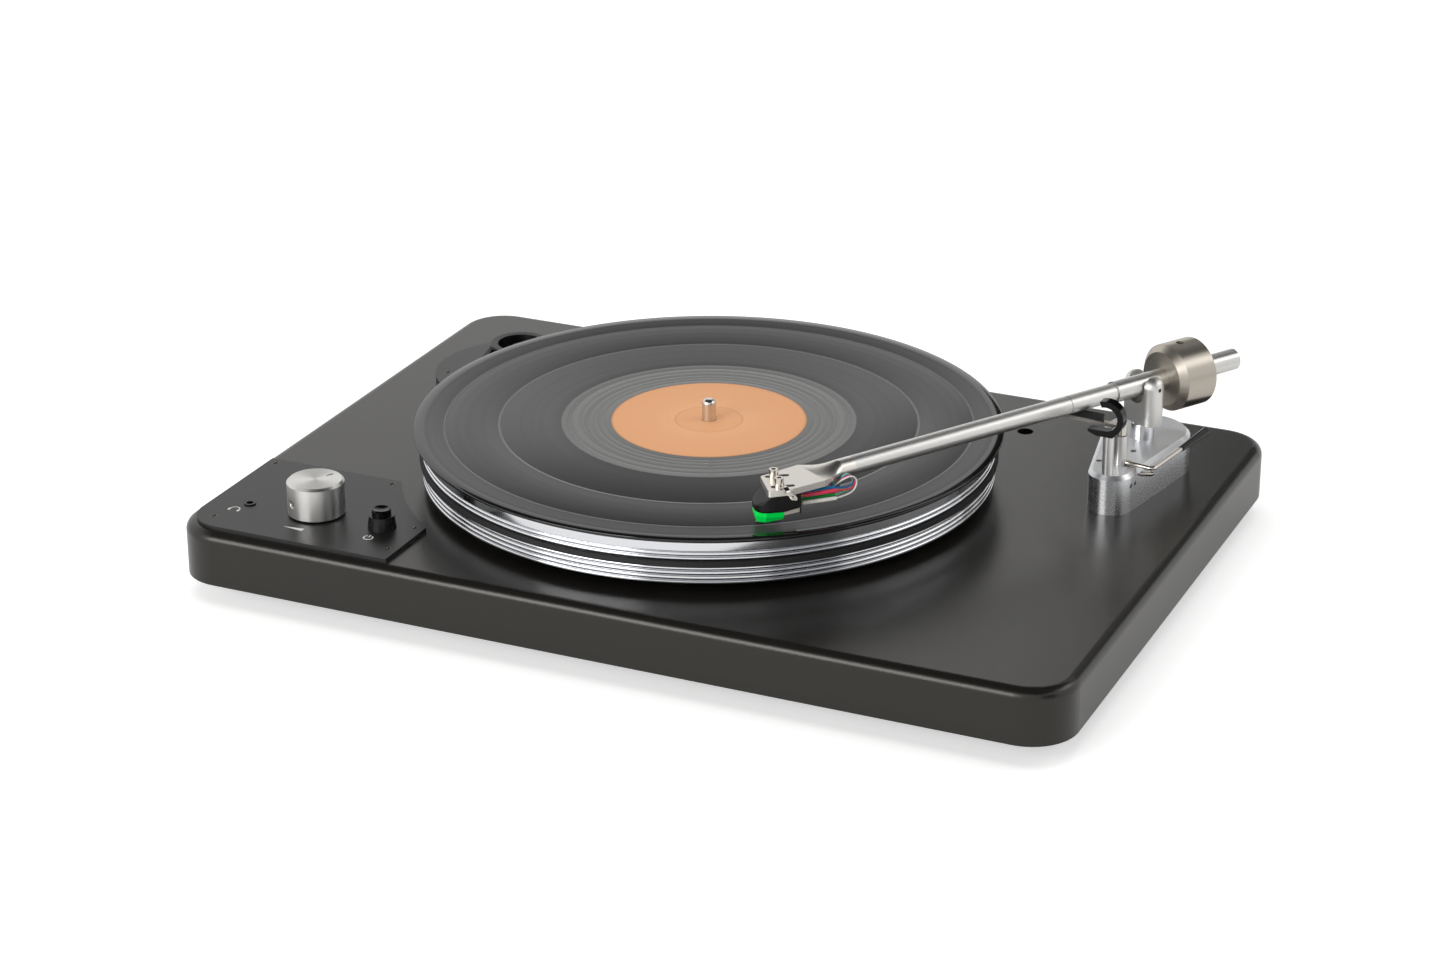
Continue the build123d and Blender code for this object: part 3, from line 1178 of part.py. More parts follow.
# Tonearm base: a tapered block with round ends and a bevelled top, bolted down from below
with BuildPart() as tonearm_base:
    with BuildSketch(Plane.XY.offset(TOP)):
        with Locations((BASE_X, BASE_FRONT_Y)):
            Circle(BASE_FRONT_RADIUS)
        with Locations((BASE_X, BASE_REAR_Y)):
            Circle(BASE_REAR_RADIUS)
        make_hull()
    extrude(amount=BASE_HEIGHT)
    chamfer(tonearm_base.faces().sort_by(Axis.Z)[-1].edges(), BASE_CHAMFER)
    # Sockets of the pillar and the posts, with the wire hole under the pillar
    with Locations((PIVOT_X, PIVOT_Y, BASE_TOP)):
        Hole(PILLAR_RADIUS + FIT_GAP, depth=PILLAR_SOCKET)
        Hole(YAW_SHAFT_RADIUS, depth=BASE_HEIGHT)
    with Locations((REST_X, REST_Y, BASE_TOP)):
        Hole(REST_POST_RADIUS + FIT_GAP, depth=REST_POST_SOCKET)
    with Locations((LIFT_X, LIFT_Y, BASE_TOP)):
        Hole(LIFT_POST_RADIUS + FIT_GAP, depth=LIFT_POST_SOCKET)
    # Small threaded holes in the top and in the right wall
    with Locations(
        (BASE_X - LEFT_HOLE_SIDE, PIVOT_Y - LEFT_HOLE_FORWARD, BASE_TOP),
        (BASE_X + MIDDLE_HOLE_SIDE, PIVOT_Y - MIDDLE_HOLE_FORWARD, BASE_TOP),
    ):
        Hole(TOP_HOLE_RADIUS, depth=TOP_HOLE_DEPTH)
    base_corner = Vector(BASE_X, BASE_FRONT_Y, TOP + GRUB_HOLE_HEIGHT)
    for along in (GRUB_HOLE_FIRST, GRUB_HOLE_FIRST + GRUB_HOLE_SPACING):
        hole_mouth = base_corner + WALL_OUT * BASE_FRONT_RADIUS + WALL_BACK * along
        with BuildSketch(Plane(hole_mouth, x_dir=WALL_BACK, z_dir=WALL_OUT)):
            Circle(GRUB_HOLE_RADIUS)
        extrude(amount=-GRUB_HOLE_DEPTH, mode=Mode.SUBTRACT)
    # Hole of the stop pin, which leans up and out of the right wall
    stop_out = WALL_OUT * cos(radians(STOP_TILT)) + Vector(0, 0, 1) * sin(radians(STOP_TILT))
    wall_distance = BASE_FRONT_RADIUS - WALL_OUT.dot(Vector(LIFT_X - BASE_X, LIFT_Y - BASE_FRONT_Y, 0))
    stop_mouth = (
        Vector(LIFT_X, LIFT_Y, TOP + STOP_HEIGHT) + WALL_OUT * wall_distance + WALL_BACK * STOP_BACK
    )
    stop_plane = Plane(stop_mouth, x_dir=WALL_BACK, z_dir=stop_out)
    with BuildSketch(stop_plane.offset(-STOP_SEAT)):
        Circle(STOP_RADIUS + FIT_GAP)
    extrude(amount=2 * STOP_SEAT, mode=Mode.SUBTRACT)
    # Threads of the bolts from below
    with BuildSketch(Plane.XY.offset(TOP)):
        with Locations(*base_bolts_places):
            Circle(BOLT_SHANK_RADIUS + FIT_GAP)
    extrude(amount=BOLT_THREAD_DEPTH + FREE_GAP, mode=Mode.SUBTRACT)
tonearm_base.part.label = "tonearm_base"
export_step(tonearm_base.part, "parts/tonearm_base.step")

# Base bolts: socket heads in the plinth's underside
bolt_seat = COVER_TOP + BOLT_RECESS
with BuildPart() as base_bolts:
    with BuildSketch(Plane.XY.offset(bolt_seat - BOLT_HEAD_HEIGHT)):
        with Locations(*base_bolts_places):
            Circle(BOLT_HEAD_RADIUS)
    extrude(amount=BOLT_HEAD_HEIGHT)
    with BuildSketch(Plane.XY.offset(bolt_seat)):
        with Locations(*base_bolts_places):
            Circle(BOLT_SHANK_RADIUS)
    extrude(amount=TOP + BOLT_THREAD_DEPTH - bolt_seat)
    with BuildSketch(Plane.XY.offset(bolt_seat - BOLT_HEAD_HEIGHT)):
        with Locations(*base_bolts_places):
            RegularPolygon(HEX_SOCKET_RADIUS, 6)
    extrude(amount=HEX_SOCKET_DEPTH, mode=Mode.SUBTRACT)
base_bolts.part.label = "base_bolts"
export_step(base_bolts.part, "parts/base_bolts.step")

# Lever stop: a pointed pin in the base's right wall
with BuildPart() as lever_stop:
    with BuildSketch(stop_plane.offset(-STOP_SEAT)):
        Circle(STOP_RADIUS)
    extrude(amount=STOP_SEAT + STOP_REACH - STOP_POINT)
    with BuildSketch(stop_plane.offset(STOP_REACH - STOP_POINT)):
        Circle(STOP_RADIUS)
    with BuildSketch(stop_plane.offset(STOP_REACH)):
        Circle(STOP_RADIUS / 8)
    loft()
lever_stop.part.label = "lever_stop"
export_step(lever_stop.part, "parts/lever_stop.step")

# Pillar: the tube that holds the two pivot bearings
pillar_bottom = BASE_TOP - PILLAR_SOCKET
pillar_top = TOP + YOKE_BOTTOM - YOKE_GAP
pillar_bore_floor = pillar_bottom + PILLAR_FLOOR
with BuildPart() as arm_pillar:
    with BuildSketch(Plane.XY.offset(pillar_bottom)):
        with Locations((PIVOT_X, PIVOT_Y)):
            Circle(PILLAR_RADIUS)
    extrude(amount=pillar_top - pillar_bottom)
    chamfer(arm_pillar.edges().sort_by(Axis.Z)[-1], PILLAR_EDGE)
    with Locations((PIVOT_X, PIVOT_Y, pillar_top)):
        Hole(BEARING_RADIUS + FIT_GAP, depth=pillar_top - pillar_bore_floor)
        Hole(YAW_SHAFT_RADIUS, depth=pillar_top - pillar_bottom)
arm_pillar.part.label = "arm_pillar"
export_step(arm_pillar.part, "parts/arm_pillar.step")

with BuildPart() as yaw_bearings:
    for bottom in (pillar_bore_floor, pillar_top - BEARING_LENGTH):
        with BuildSketch(Plane.XY.offset(bottom)):
            with Locations((PIVOT_X, PIVOT_Y)):
                Circle(BEARING_RADIUS)
                Circle(YAW_SHAFT_RADIUS + RUN_GAP, mode=Mode.SUBTRACT)
        extrude(amount=BEARING_LENGTH)
yaw_bearings.part.label = "yaw_bearings"
export_step(yaw_bearings.part, "parts/yaw_bearings.step")

# Yoke: an upright with a rounded top, slotted for the arm, that swings on the pillar
slot_half = SLEEVE_RADIUS + YOKE_SLOT_GAP
with BuildPart() as yoke:
    with BuildSketch(arm_level(YOKE_BOTTOM - ARM_HEIGHT)):
        SlotOverall(YOKE_WIDTH, YOKE_DEPTH, rotation=90)
    extrude(amount=ARM_HEIGHT - YOKE_BOTTOM)
    with BuildSketch(across_arm(0)):
        SlotOverall(YOKE_WIDTH, YOKE_DEPTH)
        Rectangle(YOKE_WIDTH, YOKE_DEPTH, align=(Align.CENTER, Align.MAX), mode=Mode.SUBTRACT)
    revolve(axis=Axis(ARM.origin, ARM.y_dir))
    with BuildSketch(across_arm(-YOKE_DEPTH)):
        slot_centre = slot_half - YOKE_SLOT_DEPTH
        with Locations((0, slot_centre)):
            Circle(slot_half)
            Rectangle(2 * slot_half, YOKE_DEPTH + YOKE_SLOT_DEPTH, align=(Align.CENTER, Align.MIN))
    extrude(amount=2 * YOKE_DEPTH, mode=Mode.SUBTRACT)
    # Holes of the swing shaft and the pivot screws
    with BuildSketch(arm_level(YOKE_BOTTOM - ARM_HEIGHT)):
        Circle(YAW_SHAFT_RADIUS + FIT_GAP)
    extrude(amount=YAW_SHAFT_SEAT, mode=Mode.SUBTRACT)
    with BuildSketch(Plane(ARM.origin, x_dir=ARM.x_dir, z_dir=ARM.y_dir)):
        Circle(PIVOT_SCREW_RADIUS + FIT_GAP)
    extrude(amount=YOKE_WIDTH, both=True, mode=Mode.SUBTRACT)
yoke.part.label = "yoke"
export_step(yoke.part, "parts/yoke.step")

with BuildPart() as yaw_shaft:
    with BuildSketch(Plane.XY.offset(pillar_bore_floor + FREE_GAP)):
        with Locations((PIVOT_X, PIVOT_Y)):
            Circle(YAW_SHAFT_RADIUS)
    extrude(amount=TOP + YOKE_BOTTOM + YAW_SHAFT_SEAT - pillar_bore_floor - FREE_GAP)
yaw_shaft.part.label = "yaw_shaft"
export_step(yaw_shaft.part, "parts/yaw_shaft.step")

# Pivot screws: from both sides of the yoke, their tips in the arm's sleeve
with BuildPart() as pivot_screws:
    for side in (-1, 1):
        outwards = ARM.y_dir * side
        inner_end = SLEEVE_RADIUS - PIVOT_TIP_ENGAGE
        with BuildSketch(Plane(ARM.origin + outwards * inner_end, x_dir=ARM.x_dir, z_dir=outwards)):
            Circle(PIVOT_TIP_RADIUS)
        extrude(amount=slot_half - inner_end)
        with BuildSketch(Plane(ARM.origin + outwards * slot_half, x_dir=ARM.x_dir, z_dir=outwards)):
            Circle(PIVOT_SCREW_RADIUS)
        extrude(amount=YOKE_WIDTH / 2 - PIVOT_SCREW_RECESS - slot_half)
pivot_screws.part.label = "pivot_screws"
export_step(pivot_screws.part, "parts/pivot_screws.step")

# Arm tube
with BuildPart() as arm_tube:
    with BuildSketch(across_arm(TUBE_START)):
        Circle(TUBE_RADIUS)
        Circle(TUBE_RADIUS - TUBE_WALL, mode=Mode.SUBTRACT)
    extrude(amount=TUBE_END - TUBE_START)
arm_tube.part.label = "arm_tube"
export_step(arm_tube.part, "parts/arm_tube.step")

# Rear sleeve: bored for the tube in front, solid behind, where the counterweight slides
ARM_LINE = Axis(ARM.origin, ARM.x_dir)
with BuildPart() as arm_sleeve:
    with BuildSketch(arm_level(0)):
        with BuildLine():
            Polyline(
                (SLEEVE_FRONT, TUBE_RADIUS + FIT_GAP),
                (SLEEVE_FRONT, SLEEVE_RADIUS),
                (SLEEVE_REAR + SLEEVE_EDGE, SLEEVE_RADIUS),
                (SLEEVE_REAR, SLEEVE_RADIUS - SLEEVE_EDGE),
                (SLEEVE_REAR, 0),
                (TUBE_START, 0),
                (TUBE_START, TUBE_RADIUS + FIT_GAP),
                close=True,
            )
        make_face()
    revolve(axis=ARM_LINE)
    with BuildSketch(Plane(ARM.origin, x_dir=ARM.x_dir, z_dir=ARM.y_dir)):
        Circle(PIVOT_TIP_RADIUS + RUN_GAP)
    extrude(amount=YOKE_WIDTH, both=True, mode=Mode.SUBTRACT)
arm_sleeve.part.label = "arm_sleeve"
export_step(arm_sleeve.part, "parts/arm_sleeve.step")

# Counterweight: a turned steel ring with a wide bevel in front and a clamp screw's hole on top
with BuildPart() as counterweight:
    with BuildSketch(arm_level(0)):
        with BuildLine():
            weight_rear = WEIGHT_FRONT - WEIGHT_LENGTH
            Polyline(
                (WEIGHT_FRONT, SLEEVE_RADIUS + RUN_GAP),
                (WEIGHT_FRONT, WEIGHT_RADIUS - WEIGHT_CHAMFER),
                (WEIGHT_FRONT - WEIGHT_CHAMFER, WEIGHT_RADIUS),
                (weight_rear + WEIGHT_EDGE, WEIGHT_RADIUS),
                (weight_rear, WEIGHT_RADIUS - WEIGHT_EDGE),
                (weight_rear, SLEEVE_RADIUS + RUN_GAP),
                close=True,
            )
        make_face()
    revolve(axis=ARM_LINE)
    with BuildSketch(arm_level(0)):
        with Locations((WEIGHT_FRONT - WEIGHT_LENGTH / 2, 0)):
            Circle(WEIGHT_SCREW_RADIUS)
    extrude(amount=WEIGHT_RADIUS + WEIGHT_EDGE, mode=Mode.SUBTRACT)
counterweight.part.label = "counterweight"
export_step(counterweight.part, "parts/counterweight.step")

# Headshell: a round neck that flattens into a plate, skewed at the nose, with two mounting slots
shell_middle = (SHELL_ROOT_INNER + SHELL_ROOT_OUTER) / 2
slot_side = SLOT_SPACING / 2
slot_middle = (SLOT_FRONT - SLOT_BACK) / 2
shell_bend = (SHELL_ROOT + SHELL_OUTER_LENGTH, SHELL_OUTER_BEND_SIDE)
shell_tip = (SHELL_ROOT + SHELL_TIP_LENGTH, SHELL_NOSE_TIP_SIDE)
with BuildPart() as headshell:
    with BuildSketch(across_arm(TUBE_END - NECK_SPIGOT)):
        Circle(TUBE_RADIUS - TUBE_WALL - FIT_GAP)
    extrude(amount=NECK_SPIGOT)
    with BuildSketch(across_arm(TUBE_END)):
        Circle(TUBE_RADIUS)
    extrude(amount=NECK_LENGTH)
    with BuildSketch(across_arm(TUBE_END + NECK_LENGTH)):
        Circle(TUBE_RADIUS)
    with BuildSketch(across_arm(SHELL_ROOT)):
        with Locations((shell_middle, SHELL_BOTTOM + SHELL_THICKNESS / 2)):
            Rectangle(SHELL_ROOT_OUTER - SHELL_ROOT_INNER, SHELL_THICKNESS)
    loft()
    with BuildSketch(arm_level(SHELL_BOTTOM)) as shell_plan:
        Polygon(
            (SHELL_ROOT, SHELL_ROOT_INNER),
            (SHELL_ROOT + SHELL_INNER_LENGTH, SHELL_NOSE_INNER_SIDE),
            shell_tip,
            shell_bend,
            (SHELL_ROOT, SHELL_ROOT_OUTER),
            align=None,
        )
        fillet(shell_plan.vertices().sort_by(Axis.X)[-3:], SHELL_CORNER)
    extrude(amount=SHELL_THICKNESS)
    with BuildSketch(CARTRIDGE):
        with Locations((slot_middle, -slot_side), (slot_middle, slot_side)):
            SlotOverall(SLOT_FRONT + SLOT_BACK, 2 * SLOT_RADIUS)
    extrude(amount=SHELL_THICKNESS, mode=Mode.SUBTRACT)
    # The leads' entry in the neck's underside
    with BuildSketch(arm_level(-2 * TUBE_RADIUS)):
        with Locations((LEAD_ENTRY_ALONG, LEAD_ENTRY_SIDE)):
            Circle(LEAD_ENTRY_RADIUS)
    extrude(amount=2 * TUBE_RADIUS + SHELL_BOTTOM / 2, mode=Mode.SUBTRACT)
headshell.part.label = "headshell"
export_step(headshell.part, "parts/headshell.step")

# Cartridge body: a wedge-nosed moulding with rounded front corners and a tail for the pins
with BuildPart() as cartridge_body:
    with BuildSketch(cartridge_side(0)):
        with BuildLine():
            Polyline(
                (-CARTRIDGE_REAR, 0),
                (CARTRIDGE_FLAT, 0),
                (CARTRIDGE_BROW, -CARTRIDGE_BROW_DROP),
                (CARTRIDGE_NOSE, -CARTRIDGE_NOSE_DROP),
                (CARTRIDGE_CHIN, -CARTRIDGE_CHIN_DROP),
                (STYLUS_GROOVE_START, -CARTRIDGE_HEIGHT),
                (CARTRIDGE_TAIL_THICKNESS - CARTRIDGE_REAR, -CARTRIDGE_HEIGHT),
                (CARTRIDGE_TAIL_THICKNESS - CARTRIDGE_REAR, -CARTRIDGE_TAIL),
                (-CARTRIDGE_REAR, -CARTRIDGE_TAIL),
                close=True,
            )
        make_face()
    extrude(amount=CARTRIDGE_HALF_WIDTH, both=True)
    with BuildSketch(CARTRIDGE) as cartridge_plan:
        with Locations((CARTRIDGE_NOSE, 0)):
            Rectangle(
                CARTRIDGE_NOSE + CARTRIDGE_REAR,
                2 * CARTRIDGE_HALF_WIDTH,
                align=(Align.MAX, Align.CENTER),
            )
        nose = cartridge_plan.vertices().sort_by(Axis((0, 0, 0), CARTRIDGE.x_dir))[-2:]
        fillet(nose, CARTRIDGE_NOSE_ROUND)
    extrude(amount=-CARTRIDGE_TAIL, mode=Mode.INTERSECT)
    with BuildSketch(CARTRIDGE):
        with Locations((0, -slot_side), (0, slot_side)):
            Circle(CAP_SCREW_RADIUS + FIT_GAP)
    extrude(amount=-(CAP_SCREW_DEPTH + FREE_GAP), mode=Mode.SUBTRACT)
    # Holes of the four pins
    tail_plane = Plane(
        CARTRIDGE.from_local_coords((-CARTRIDGE_REAR, 0, 0)),
        x_dir=CARTRIDGE.y_dir,
        z_dir=CARTRIDGE.x_dir,
    )
    pin_places = [(g, -z) for g in (-PIN_SPREAD, PIN_SPREAD) for z in (PIN_UPPER, PIN_LOWER)]
    with BuildSketch(tail_plane):
        with Locations(*pin_places):
            Circle(PIN_RADIUS + FIT_GAP)
    extrude(amount=PIN_LENGTH, mode=Mode.SUBTRACT)
cartridge_body.part.label = "cartridge_body"
export_step(cartridge_body.part, "parts/cartridge_body.step")

with BuildPart() as cartridge_pins:
    with BuildSketch(tail_plane.offset(-PIN_LENGTH)):
        with Locations(*pin_places):
            Circle(PIN_RADIUS)
    extrude(amount=2 * PIN_LENGTH - FREE_GAP)
cartridge_pins.part.label = "cartridge_pins"
export_step(cartridge_pins.part, "parts/cartridge_pins.step")

# Shield: the metal block under the body, between the tail and the stylus holder
shield_front = CARTRIDGE_TAIL_THICKNESS - CARTRIDGE_REAR + SHIELD_LENGTH
with BuildPart() as cartridge_shield:
    with BuildSketch(CARTRIDGE.offset(-CARTRIDGE_HEIGHT)):
        with Locations((shield_front, 0)):
            Rectangle(SHIELD_LENGTH, 2 * SHIELD_HALF_WIDTH, align=(Align.MAX, Align.CENTER))
    extrude(amount=-SHIELD_HEIGHT)
cartridge_shield.part.label = "cartridge_shield"
export_step(cartridge_shield.part, "parts/cartridge_shield.step")

# Stylus holder: a faceted block, narrower below, with a groove for the cantilever
holder_top = CARTRIDGE_HEIGHT + FIT_GAP
holder_bottom = CARTRIDGE_HEIGHT + STYLUS_DROP
with BuildPart() as stylus_holder:
    with BuildSketch(cartridge_side(0)):
        with BuildLine():
            Polyline(
                (STYLUS_REAR, -holder_top),
                (STYLUS_GROOVE_START, -holder_top),
                (CARTRIDGE_CHIN, -CARTRIDGE_CHIN_DROP - FIT_GAP),
                (STYLUS_FRONT, STYLUS_LIP - holder_top),
                (STYLUS_BEAK, STYLUS_BEAK_LIFT - holder_bottom),
                (STYLUS_HEEL, -holder_bottom),
                (STYLUS_REAR, STYLUS_HEEL_LIFT - holder_bottom),
                close=True,
            )
        make_face()
    extrude(amount=STYLUS_TOP_HALF_WIDTH, both=True)
    with BuildSketch(Plane(CARTRIDGE.origin, x_dir=CARTRIDGE.y_dir, z_dir=CARTRIDGE.x_dir)):
        with BuildLine():
            Polyline(
                (-STYLUS_TOP_HALF_WIDTH, 0),
                (STYLUS_TOP_HALF_WIDTH, 0),
                (STYLUS_TOP_HALF_WIDTH, -holder_top - STYLUS_DROP / 3),
                (STYLUS_BOTTOM_HALF_WIDTH, -holder_bottom),
                (-STYLUS_BOTTOM_HALF_WIDTH, -holder_bottom),
                (-STYLUS_TOP_HALF_WIDTH, -holder_top - STYLUS_DROP / 3),
                close=True,
            )
        make_face()
    extrude(amount=2 * CARTRIDGE_NOSE, both=True, mode=Mode.INTERSECT)
    with BuildSketch(CARTRIDGE.offset(-holder_bottom)):
        with Locations((STYLUS_GROOVE_START, 0)):
            Rectangle(
                CARTRIDGE_NOSE,
                2 * STYLUS_GROOVE_HALF_WIDTH,
                align=(Align.MIN, Align.CENTER),
            )
    extrude(amount=STYLUS_GROOVE_DEPTH, mode=Mode.SUBTRACT)
stylus_holder.part.label = "stylus_holder"
export_step(stylus_holder.part, "parts/stylus_holder.step")

# Cantilever: a fine tube sloping down and forward, with the stylus at its end
cantilever_way = CARTRIDGE.x_dir * cos(radians(CANTILEVER_SLOPE))
cantilever_way -= Vector(0, 0, sin(radians(CANTILEVER_SLOPE)))
tip_height = ARM_HEIGHT + SHELL_BOTTOM - RECORD_TOP - STYLUS_TIP_GAP
cantilever_drop = CANTILEVER_LENGTH * sin(radians(CANTILEVER_SLOPE))
cantilever_run = CANTILEVER_LENGTH * cos(radians(CANTILEVER_SLOPE))
cantilever_root = CARTRIDGE.from_local_coords(
    (STYLUS_GROOVE_START + FREE_GAP, 0, 2 * CANTILEVER_RADIUS + cantilever_drop - tip_height)
)
with BuildPart() as cantilever:
    with BuildSketch(Plane(cantilever_root, x_dir=CARTRIDGE.y_dir, z_dir=cantilever_way)):
        Circle(CANTILEVER_RADIUS)
    extrude(amount=CANTILEVER_LENGTH)
    with BuildSketch(CARTRIDGE.offset(-tip_height)):
        with Locations((STYLUS_GROOVE_START + FREE_GAP + cantilever_run - 2 * CANTILEVER_RADIUS, 0)):
            Circle(CANTILEVER_RADIUS / 2)
    extrude(amount=2 * CANTILEVER_RADIUS)
cantilever.part.label = "cantilever"
export_step(cantilever.part, "parts/cantilever.step")

# Finger lift: a bent strip under the outer screw, stepping down past the plate's edge
outer_edge = [
    CARTRIDGE.to_local_coords(ARM.from_local_coords((along, side, 0))).Y
    for along, side in (shell_bend, shell_tip)
]
finger_reach = max(outer_edge) + FINGER_CLEARANCE
with BuildPart() as finger_lift:
    finger_plane = Plane(
        CARTRIDGE.from_local_coords((-FINGER_WIDTH / 2, 0, SHELL_THICKNESS)),
        x_dir=CARTRIDGE.y_dir,
        z_dir=CARTRIDGE.x_dir,
    )
    with BuildSketch(finger_plane):
        with BuildLine():
            Polyline(
                (slot_side - WASHER_RADIUS, 0),
                (finger_reach, 0),
                (finger_reach, -FINGER_DROP),
                (finger_reach + FINGER_SPOON, -FINGER_DROP - FINGER_THICKNESS),
                (finger_reach + FINGER_SPOON, -FINGER_DROP),
                (finger_reach + FINGER_THICKNESS, FINGER_THICKNESS - FINGER_DROP),
                (finger_reach + FINGER_THICKNESS, FINGER_THICKNESS),
                (slot_side - WASHER_RADIUS, FINGER_THICKNESS),
                close=True,
            )
        make_face()
    extrude(amount=FINGER_WIDTH)
    with BuildSketch(CARTRIDGE.offset(SHELL_THICKNESS)):
        with Locations((0, slot_side)):
            Circle(CAP_SCREW_RADIUS + FIT_GAP)
    extrude(amount=FINGER_THICKNESS, mode=Mode.SUBTRACT)
finger_lift.part.label = "finger_lift"
export_step(finger_lift.part, "parts/finger_lift.step")

# Cartridge screws: socket heads with washers; the outer one also holds the finger lift
with BuildPart() as cartridge_screws:
    for side, seat in ((-slot_side, SHELL_THICKNESS), (slot_side, SHELL_THICKNESS + FINGER_THICKNESS)):
        with BuildSketch(CARTRIDGE.offset(-CAP_SCREW_DEPTH)):
            with Locations((0, side)):
                Circle(CAP_SCREW_RADIUS)
        extrude(amount=CAP_SCREW_DEPTH + seat)
        with BuildSketch(CARTRIDGE.offset(seat)):
            with Locations((0, side)):
                Circle(WASHER_RADIUS)
        extrude(amount=WASHER_THICKNESS)
        with BuildSketch(CARTRIDGE.offset(seat + WASHER_THICKNESS)):
            with Locations((0, side)):
                Circle(CAP_SCREW_HEAD_RADIUS)
        extrude(amount=CAP_SCREW_HEAD_HEIGHT)
        with BuildSketch(CARTRIDGE.offset(seat + WASHER_THICKNESS + CAP_SCREW_HEAD_HEIGHT)):
            with Locations((0, side)):
                RegularPolygon(CAP_SCREW_RADIUS, 6)
        extrude(amount=-CAP_SCREW_HEAD_HEIGHT / 2, mode=Mode.SUBTRACT)
cartridge_screws.part.label = "cartridge_screws"
export_step(cartridge_screws.part, "parts/cartridge_screws.step")

# Leads: a soft tag on each pin, and a limp wire that loops up and back into the neck.
# The route is along the arm, to its side and up from its axis, for the middle of the four.
lead_route = [
    (197.0, 9.8, -7.4),
    (192.5, 10.5, -6.2),
    (190.9, 10.3, -2.3),
    (193.8, 9.7, 0.8),
    (197.6, 8.8, -0.6),
    (197.8, 6.3, -3.6),
    (197.2, 4.0, -6.8),
    (198.0, 1.7, -8.3),
    (198.6, -0.2, -6.2),
    (198.4, -0.2, -2.9),
]
tag_start = CARTRIDGE_REAR + PIN_LENGTH / 2
tag_rear = -tag_start - LEAD_TAG_LENGTH
tag_middle = (PIN_UPPER + PIN_LOWER) / 2
for lead_name, pin_side, pin_height, rank in (
    ("lead_green", -PIN_SPREAD, PIN_LOWER, -1.5),
    ("lead_blue", -PIN_SPREAD, PIN_UPPER, -0.5),
    ("lead_red", PIN_SPREAD, PIN_UPPER, 0.5),
    ("lead_white", PIN_SPREAD, PIN_LOWER, 1.5),
):
    pin_end = CARTRIDGE.from_local_coords((-tag_start, pin_side, -pin_height))
    tag_end = CARTRIDGE.from_local_coords((tag_rear, pin_side, LEAD_TAG_RISE - pin_height))
    middle_end = CARTRIDGE.from_local_coords((tag_rear, 0, LEAD_TAG_RISE - tag_middle))
    # The wires leave the tags as the pins stand, then run side by side round the loop
    wire_points = [tag_end - (tag_end - pin_end).normalized() * 2 * LEAD_RADIUS]
    for step, (along, side, rise) in enumerate(lead_route, start=1):
        from_tag = max(1 - step / 3, 0)
        turn = radians(90) * min(max((step - 4) / 3, 0), 1)
        apart = rank * LEAD_SPACING * (1 - from_tag)
        beside = ARM.from_local_coords((along + apart * sin(turn), side + apart * cos(turn), rise))
        wire_points.append(beside + (tag_end - middle_end) * from_tag)
    runs = [(b - a).length for a, b in zip(wire_points, wire_points[1:])]
    turns = [
        (b - a).get_angle(c - b) for a, b, c in zip(wire_points, wire_points[1:], wire_points[2:])
    ]
    bends = [
        0.45 * min(first, second) / tan(radians(turn / 2))
        for first, second, turn in zip(runs, runs[1:], turns)
    ]
    with BuildPart() as lead:
        with BuildSketch(Plane(pin_end, z_dir=tag_end - pin_end)):
            Circle(LEAD_TAG_RADIUS)
        extrude(amount=(tag_end - pin_end).length)
        # The tag's mouth takes the pin
        with BuildSketch(tail_plane.offset(-PIN_LENGTH - FREE_GAP)):
            with Locations((pin_side, -pin_height)):
                Circle(PIN_RADIUS + FIT_GAP)
        extrude(amount=PIN_LENGTH + FREE_GAP, mode=Mode.SUBTRACT)
        with BuildLine() as wire_path:
            FilletPolyline(*wire_points, radius=bends)
        with BuildSketch(Plane(wire_points[0], z_dir=wire_points[1] - wire_points[0])):
            Circle(LEAD_RADIUS)
        sweep(path=wire_path.line)
    lead.part.label = lead_name
    export_step(lead.part, f"parts/{lead_name}.step")
    wire_length = sum(edge.length for edge in wire_path.edges())
    tag_length = (tag_end - pin_end).length
    bore_length = PIN_LENGTH + FREE_GAP - PIN_LENGTH / 2
    expected = pi * (
        LEAD_RADIUS**2 * (wire_length - 2 * LEAD_RADIUS)
        + LEAD_TAG_RADIUS**2 * tag_length
        - (PIN_RADIUS + FIT_GAP) ** 2 * bore_length
    )
    print(lead_name, "wire", round(wire_length, 1), "mm, least bend", round(min(bends), 1))
    print("  volume", round(lead.part.volume, 2), "expected", round(expected, 2))

# Arm rest: a post with a clip, open to the left, that takes the arm when it is parked
parked = Vector(cos(radians(PARKED_BEARING)), sin(radians(PARKED_BEARING)), 0)
clip_centre = Vector(REST_X + CLIP_OFFSET, REST_Y, TOP + ARM_HEIGHT + CLIP_RISE)
CLIP = Plane(clip_centre, x_dir=parked.rotate(Axis.Z, 90), z_dir=parked)
clip_bottom = TOP + ARM_HEIGHT + CLIP_RISE - CLIP_OUTER_RADIUS
with BuildPart() as arm_rest_post:
    with BuildSketch(Plane.XY.offset(BASE_TOP - REST_POST_SOCKET)):
        with Locations((REST_X, REST_Y)):
            Circle(REST_POST_RADIUS)
    extrude(amount=clip_bottom - BASE_TOP + REST_POST_SOCKET)
arm_rest_post.part.label = "arm_rest_post"
export_step(arm_rest_post.part, "parts/arm_rest_post.step")

